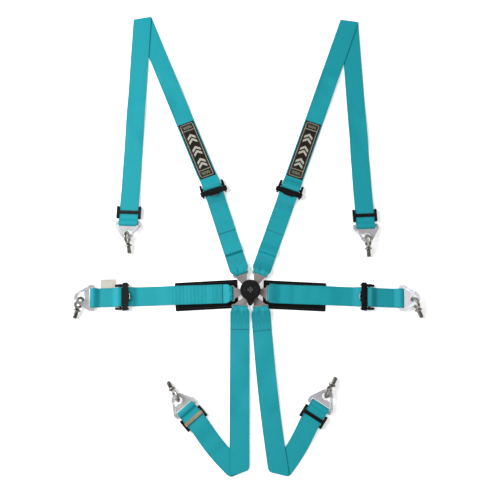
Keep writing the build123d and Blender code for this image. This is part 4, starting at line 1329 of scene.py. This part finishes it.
def carried(node):
    """A CAD node shown as it is, with its own steel finish."""
    piece = frame["nodes"][node]
    piece.data.materials.clear()
    piece.data.materials.append(MATERIALS["steel"])


def latch_coil():
    """The lifting plate's coil spring, which shortens as the plate rises; here it rides on the latch in its CAD
    shape.
    """
    coil = piece_of("latch_coil", frame["nodes"]["latch_spring"].data.copy(), "steel", "latch")
    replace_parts(coil, "latch_spring")
    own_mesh(coil)


def bare_bar(piece, place):
    """Gives a slide's middle bar the bare bronze finish."""
    piece.data.materials.append(MATERIALS["bronze"])
    to_slide = place.inverted()
    for face in piece.data.polygons:
        spot = to_slide @ (face.center / MM)
        if abs(spot.x) < 4.7 and abs(spot.y) < 29.5 and spot.z > 7.4:
            face.material_index = 1


def adjuster(strap, side):
    """The adjuster's frame, its lever and its two cheeks."""
    body = f"shoulder_lower_{side}" if strap == "shoulder" else f"lap_end_{side}"
    lever = f"{strap}_adjuster_lever_{side}"
    bevelled(f"{strap}_adjuster_finish_{side}", f"{strap}_adjuster_frame_{side}", body, "coat", 0.6, 3)
    bevelled(f"{strap}_lever_finish_{side}", lever, lever, "coat", 0.7, 3)
    lever_ribs(strap, side)
    place = adjuster_frame(strap, side)
    side_bars(f"{strap}_adjuster_cheeks_{side}", body, place, (-12.0, 22.0), (1.0, 9.6), 27.3, 33.2)


def slide(strap, side):
    """The three-bar slide near the anchor; the left crotch slide's middle bar is bare bronze from wear."""
    body = f"shoulder_tail_{side}" if strap == "shoulder" else f"crotch_{side}"
    place = anchor_frame(strap, side) @ Matrix.Translation((-SLIDE_FROM_ANCHOR, 0, 0))
    piece = bevelled(f"{strap}_slide_finish_{side}", f"{strap}_slide_{side}", body, "coat", 0.9, 3)
    if (strap, side) == ("crotch", "left"):
        bare_bar(piece, place)
    side_bars(f"{strap}_slide_cheeks_{side}", body, place, (-14.5, 14.5), (1.6, 10.4), 25.7, 30.6)


def hardware():
    """Every metal and plastic piece."""
    bevelled("buckle_housing_finish", "buckle_housing", "buckle", "housing", 0.35)
    bevelled("buckle_back_finish", "buckle_base_plate", "buckle", "zinc", 0.3)
    bevelled("knob_finish", "rotary_lever", "lever", "knob", 0.3)
    knob_details()
    for node in ("buckle_screws", "latch_plungers", "cam_ring"):
        carried(node)
    latch_coil()
    for side in SIDES:
        # Left-hand plates take the paler zinc copy: painted light.
        plate_finish = "zinc_pale" if side == "left" else "zinc"
        for strap in STRAPS:
            parts = ("tongue", "anchor_plate", "anchor_gate")
            tongue, plate, gate = (f"{strap}_{part}_{side}" for part in parts)
            held_by = "buckle" if (strap, side) == ("lap", "left") else tongue
            bevelled(f"{strap}_tongue_finish_{side}", tongue, held_by, "tongue", 0.5, 3)
            bevelled(f"{strap}_anchor_finish_{side}", plate, plate, plate_finish, 0.5, 3)
            bevelled(f"{strap}_gate_finish_{side}", gate, gate, "bright", 0.25)
            hook_details(strap, side)
            eyebolt(strap, side)
        for strap in ("shoulder", "lap"):
            adjuster(strap, side)
        for strap in ("shoulder", "crotch"):
            slide(strap, side)


# ---------------------------------------------------------------- stage


def linked(name, data):
    """An object that holds some data, in the scene."""
    thing = bpy.data.objects.new(name, data)
    bpy.context.scene.collection.objects.link(thing)
    return thing


def area(name, place, size, power, colour):
    """A square area lamp that faces the harness."""
    light = bpy.data.lights.new(name, "AREA")
    light.shape = "RECTANGLE"
    light.size = light.size_y = size
    light.energy = power
    light.color = colour
    lamp = linked(name, light)
    lamp.location = place
    lamp.rotation_euler = (LIT_POINT - Vector(place)).to_track_quat("-Z", "Y").to_euler()


def stage():
    """A pale floor, soft light from the left and above, and the camera overhead."""
    mesh = bpy.data.meshes.new("floor")
    corners = [(-1, -1), (1, -1), (1, 1), (-1, 1)]
    mesh.from_pydata([(FLOOR_REACH * x, FLOOR_REACH * y, 0) for x, y in corners], [], [(0, 1, 2, 3)])
    floor = linked("floor", mesh)
    floor.location.z = -FLOOR_DROP
    n = Nodes("floor_paper")
    tone = n.noise(3.0)
    mesh.materials.append(n.finish(
        Base_Color=n.mix(tone, (0.90, 0.90, 0.90), (0.94, 0.94, 0.94)),
        Roughness=0.9,
        Specular_IOR_Level=0.1,
        Emission_Color=(1, 1, 1),
        Emission_Strength=FLOOR_GLOW,
    ))

    area("key", (-1.95, 0.5, 1.75), 1.8, 104, (0.94, 1.0, 1.05))
    area("fill", (1.9, -0.9, 2.2), 2.2, 16, (1.0, 1.0, 0.96))
    world = bpy.data.worlds.new("studio")
    world.use_nodes = True
    tree = world.node_tree
    seen = tree.nodes.new("ShaderNodeMapRange")
    seen.inputs["To Min"].default_value = WORLD_LIGHT
    seen.inputs["To Max"].default_value = WORLD_SEEN
    tree.links.new(tree.nodes.new("ShaderNodeLightPath").outputs["Is Camera Ray"], seen.inputs["Value"])
    tree.nodes["Background"].inputs["Color"].default_value = (1, 1, 1, 1)
    tree.links.new(seen.outputs[0], tree.nodes["Background"].inputs["Strength"])
    bpy.context.scene.world = world
    bpy.context.scene.view_settings.view_transform = "Standard"

    lens = bpy.data.cameras.new("camera")
    lens.sensor_width = 36.0
    lens.lens = 51.55
    lens.clip_end = 20.0
    camera = linked("camera", lens)
    camera.location = (-0.0008, -0.2845, 1.8526)
    camera.rotation_euler = (math.radians(12), 0, 0)
    bpy.context.scene.camera = camera


for each in SIDES:
    shoulder_strap(each)
    lap_strap(each)
    lap_pad(each)
    crotch_strap(each)
care_label()
hardware()
stage()
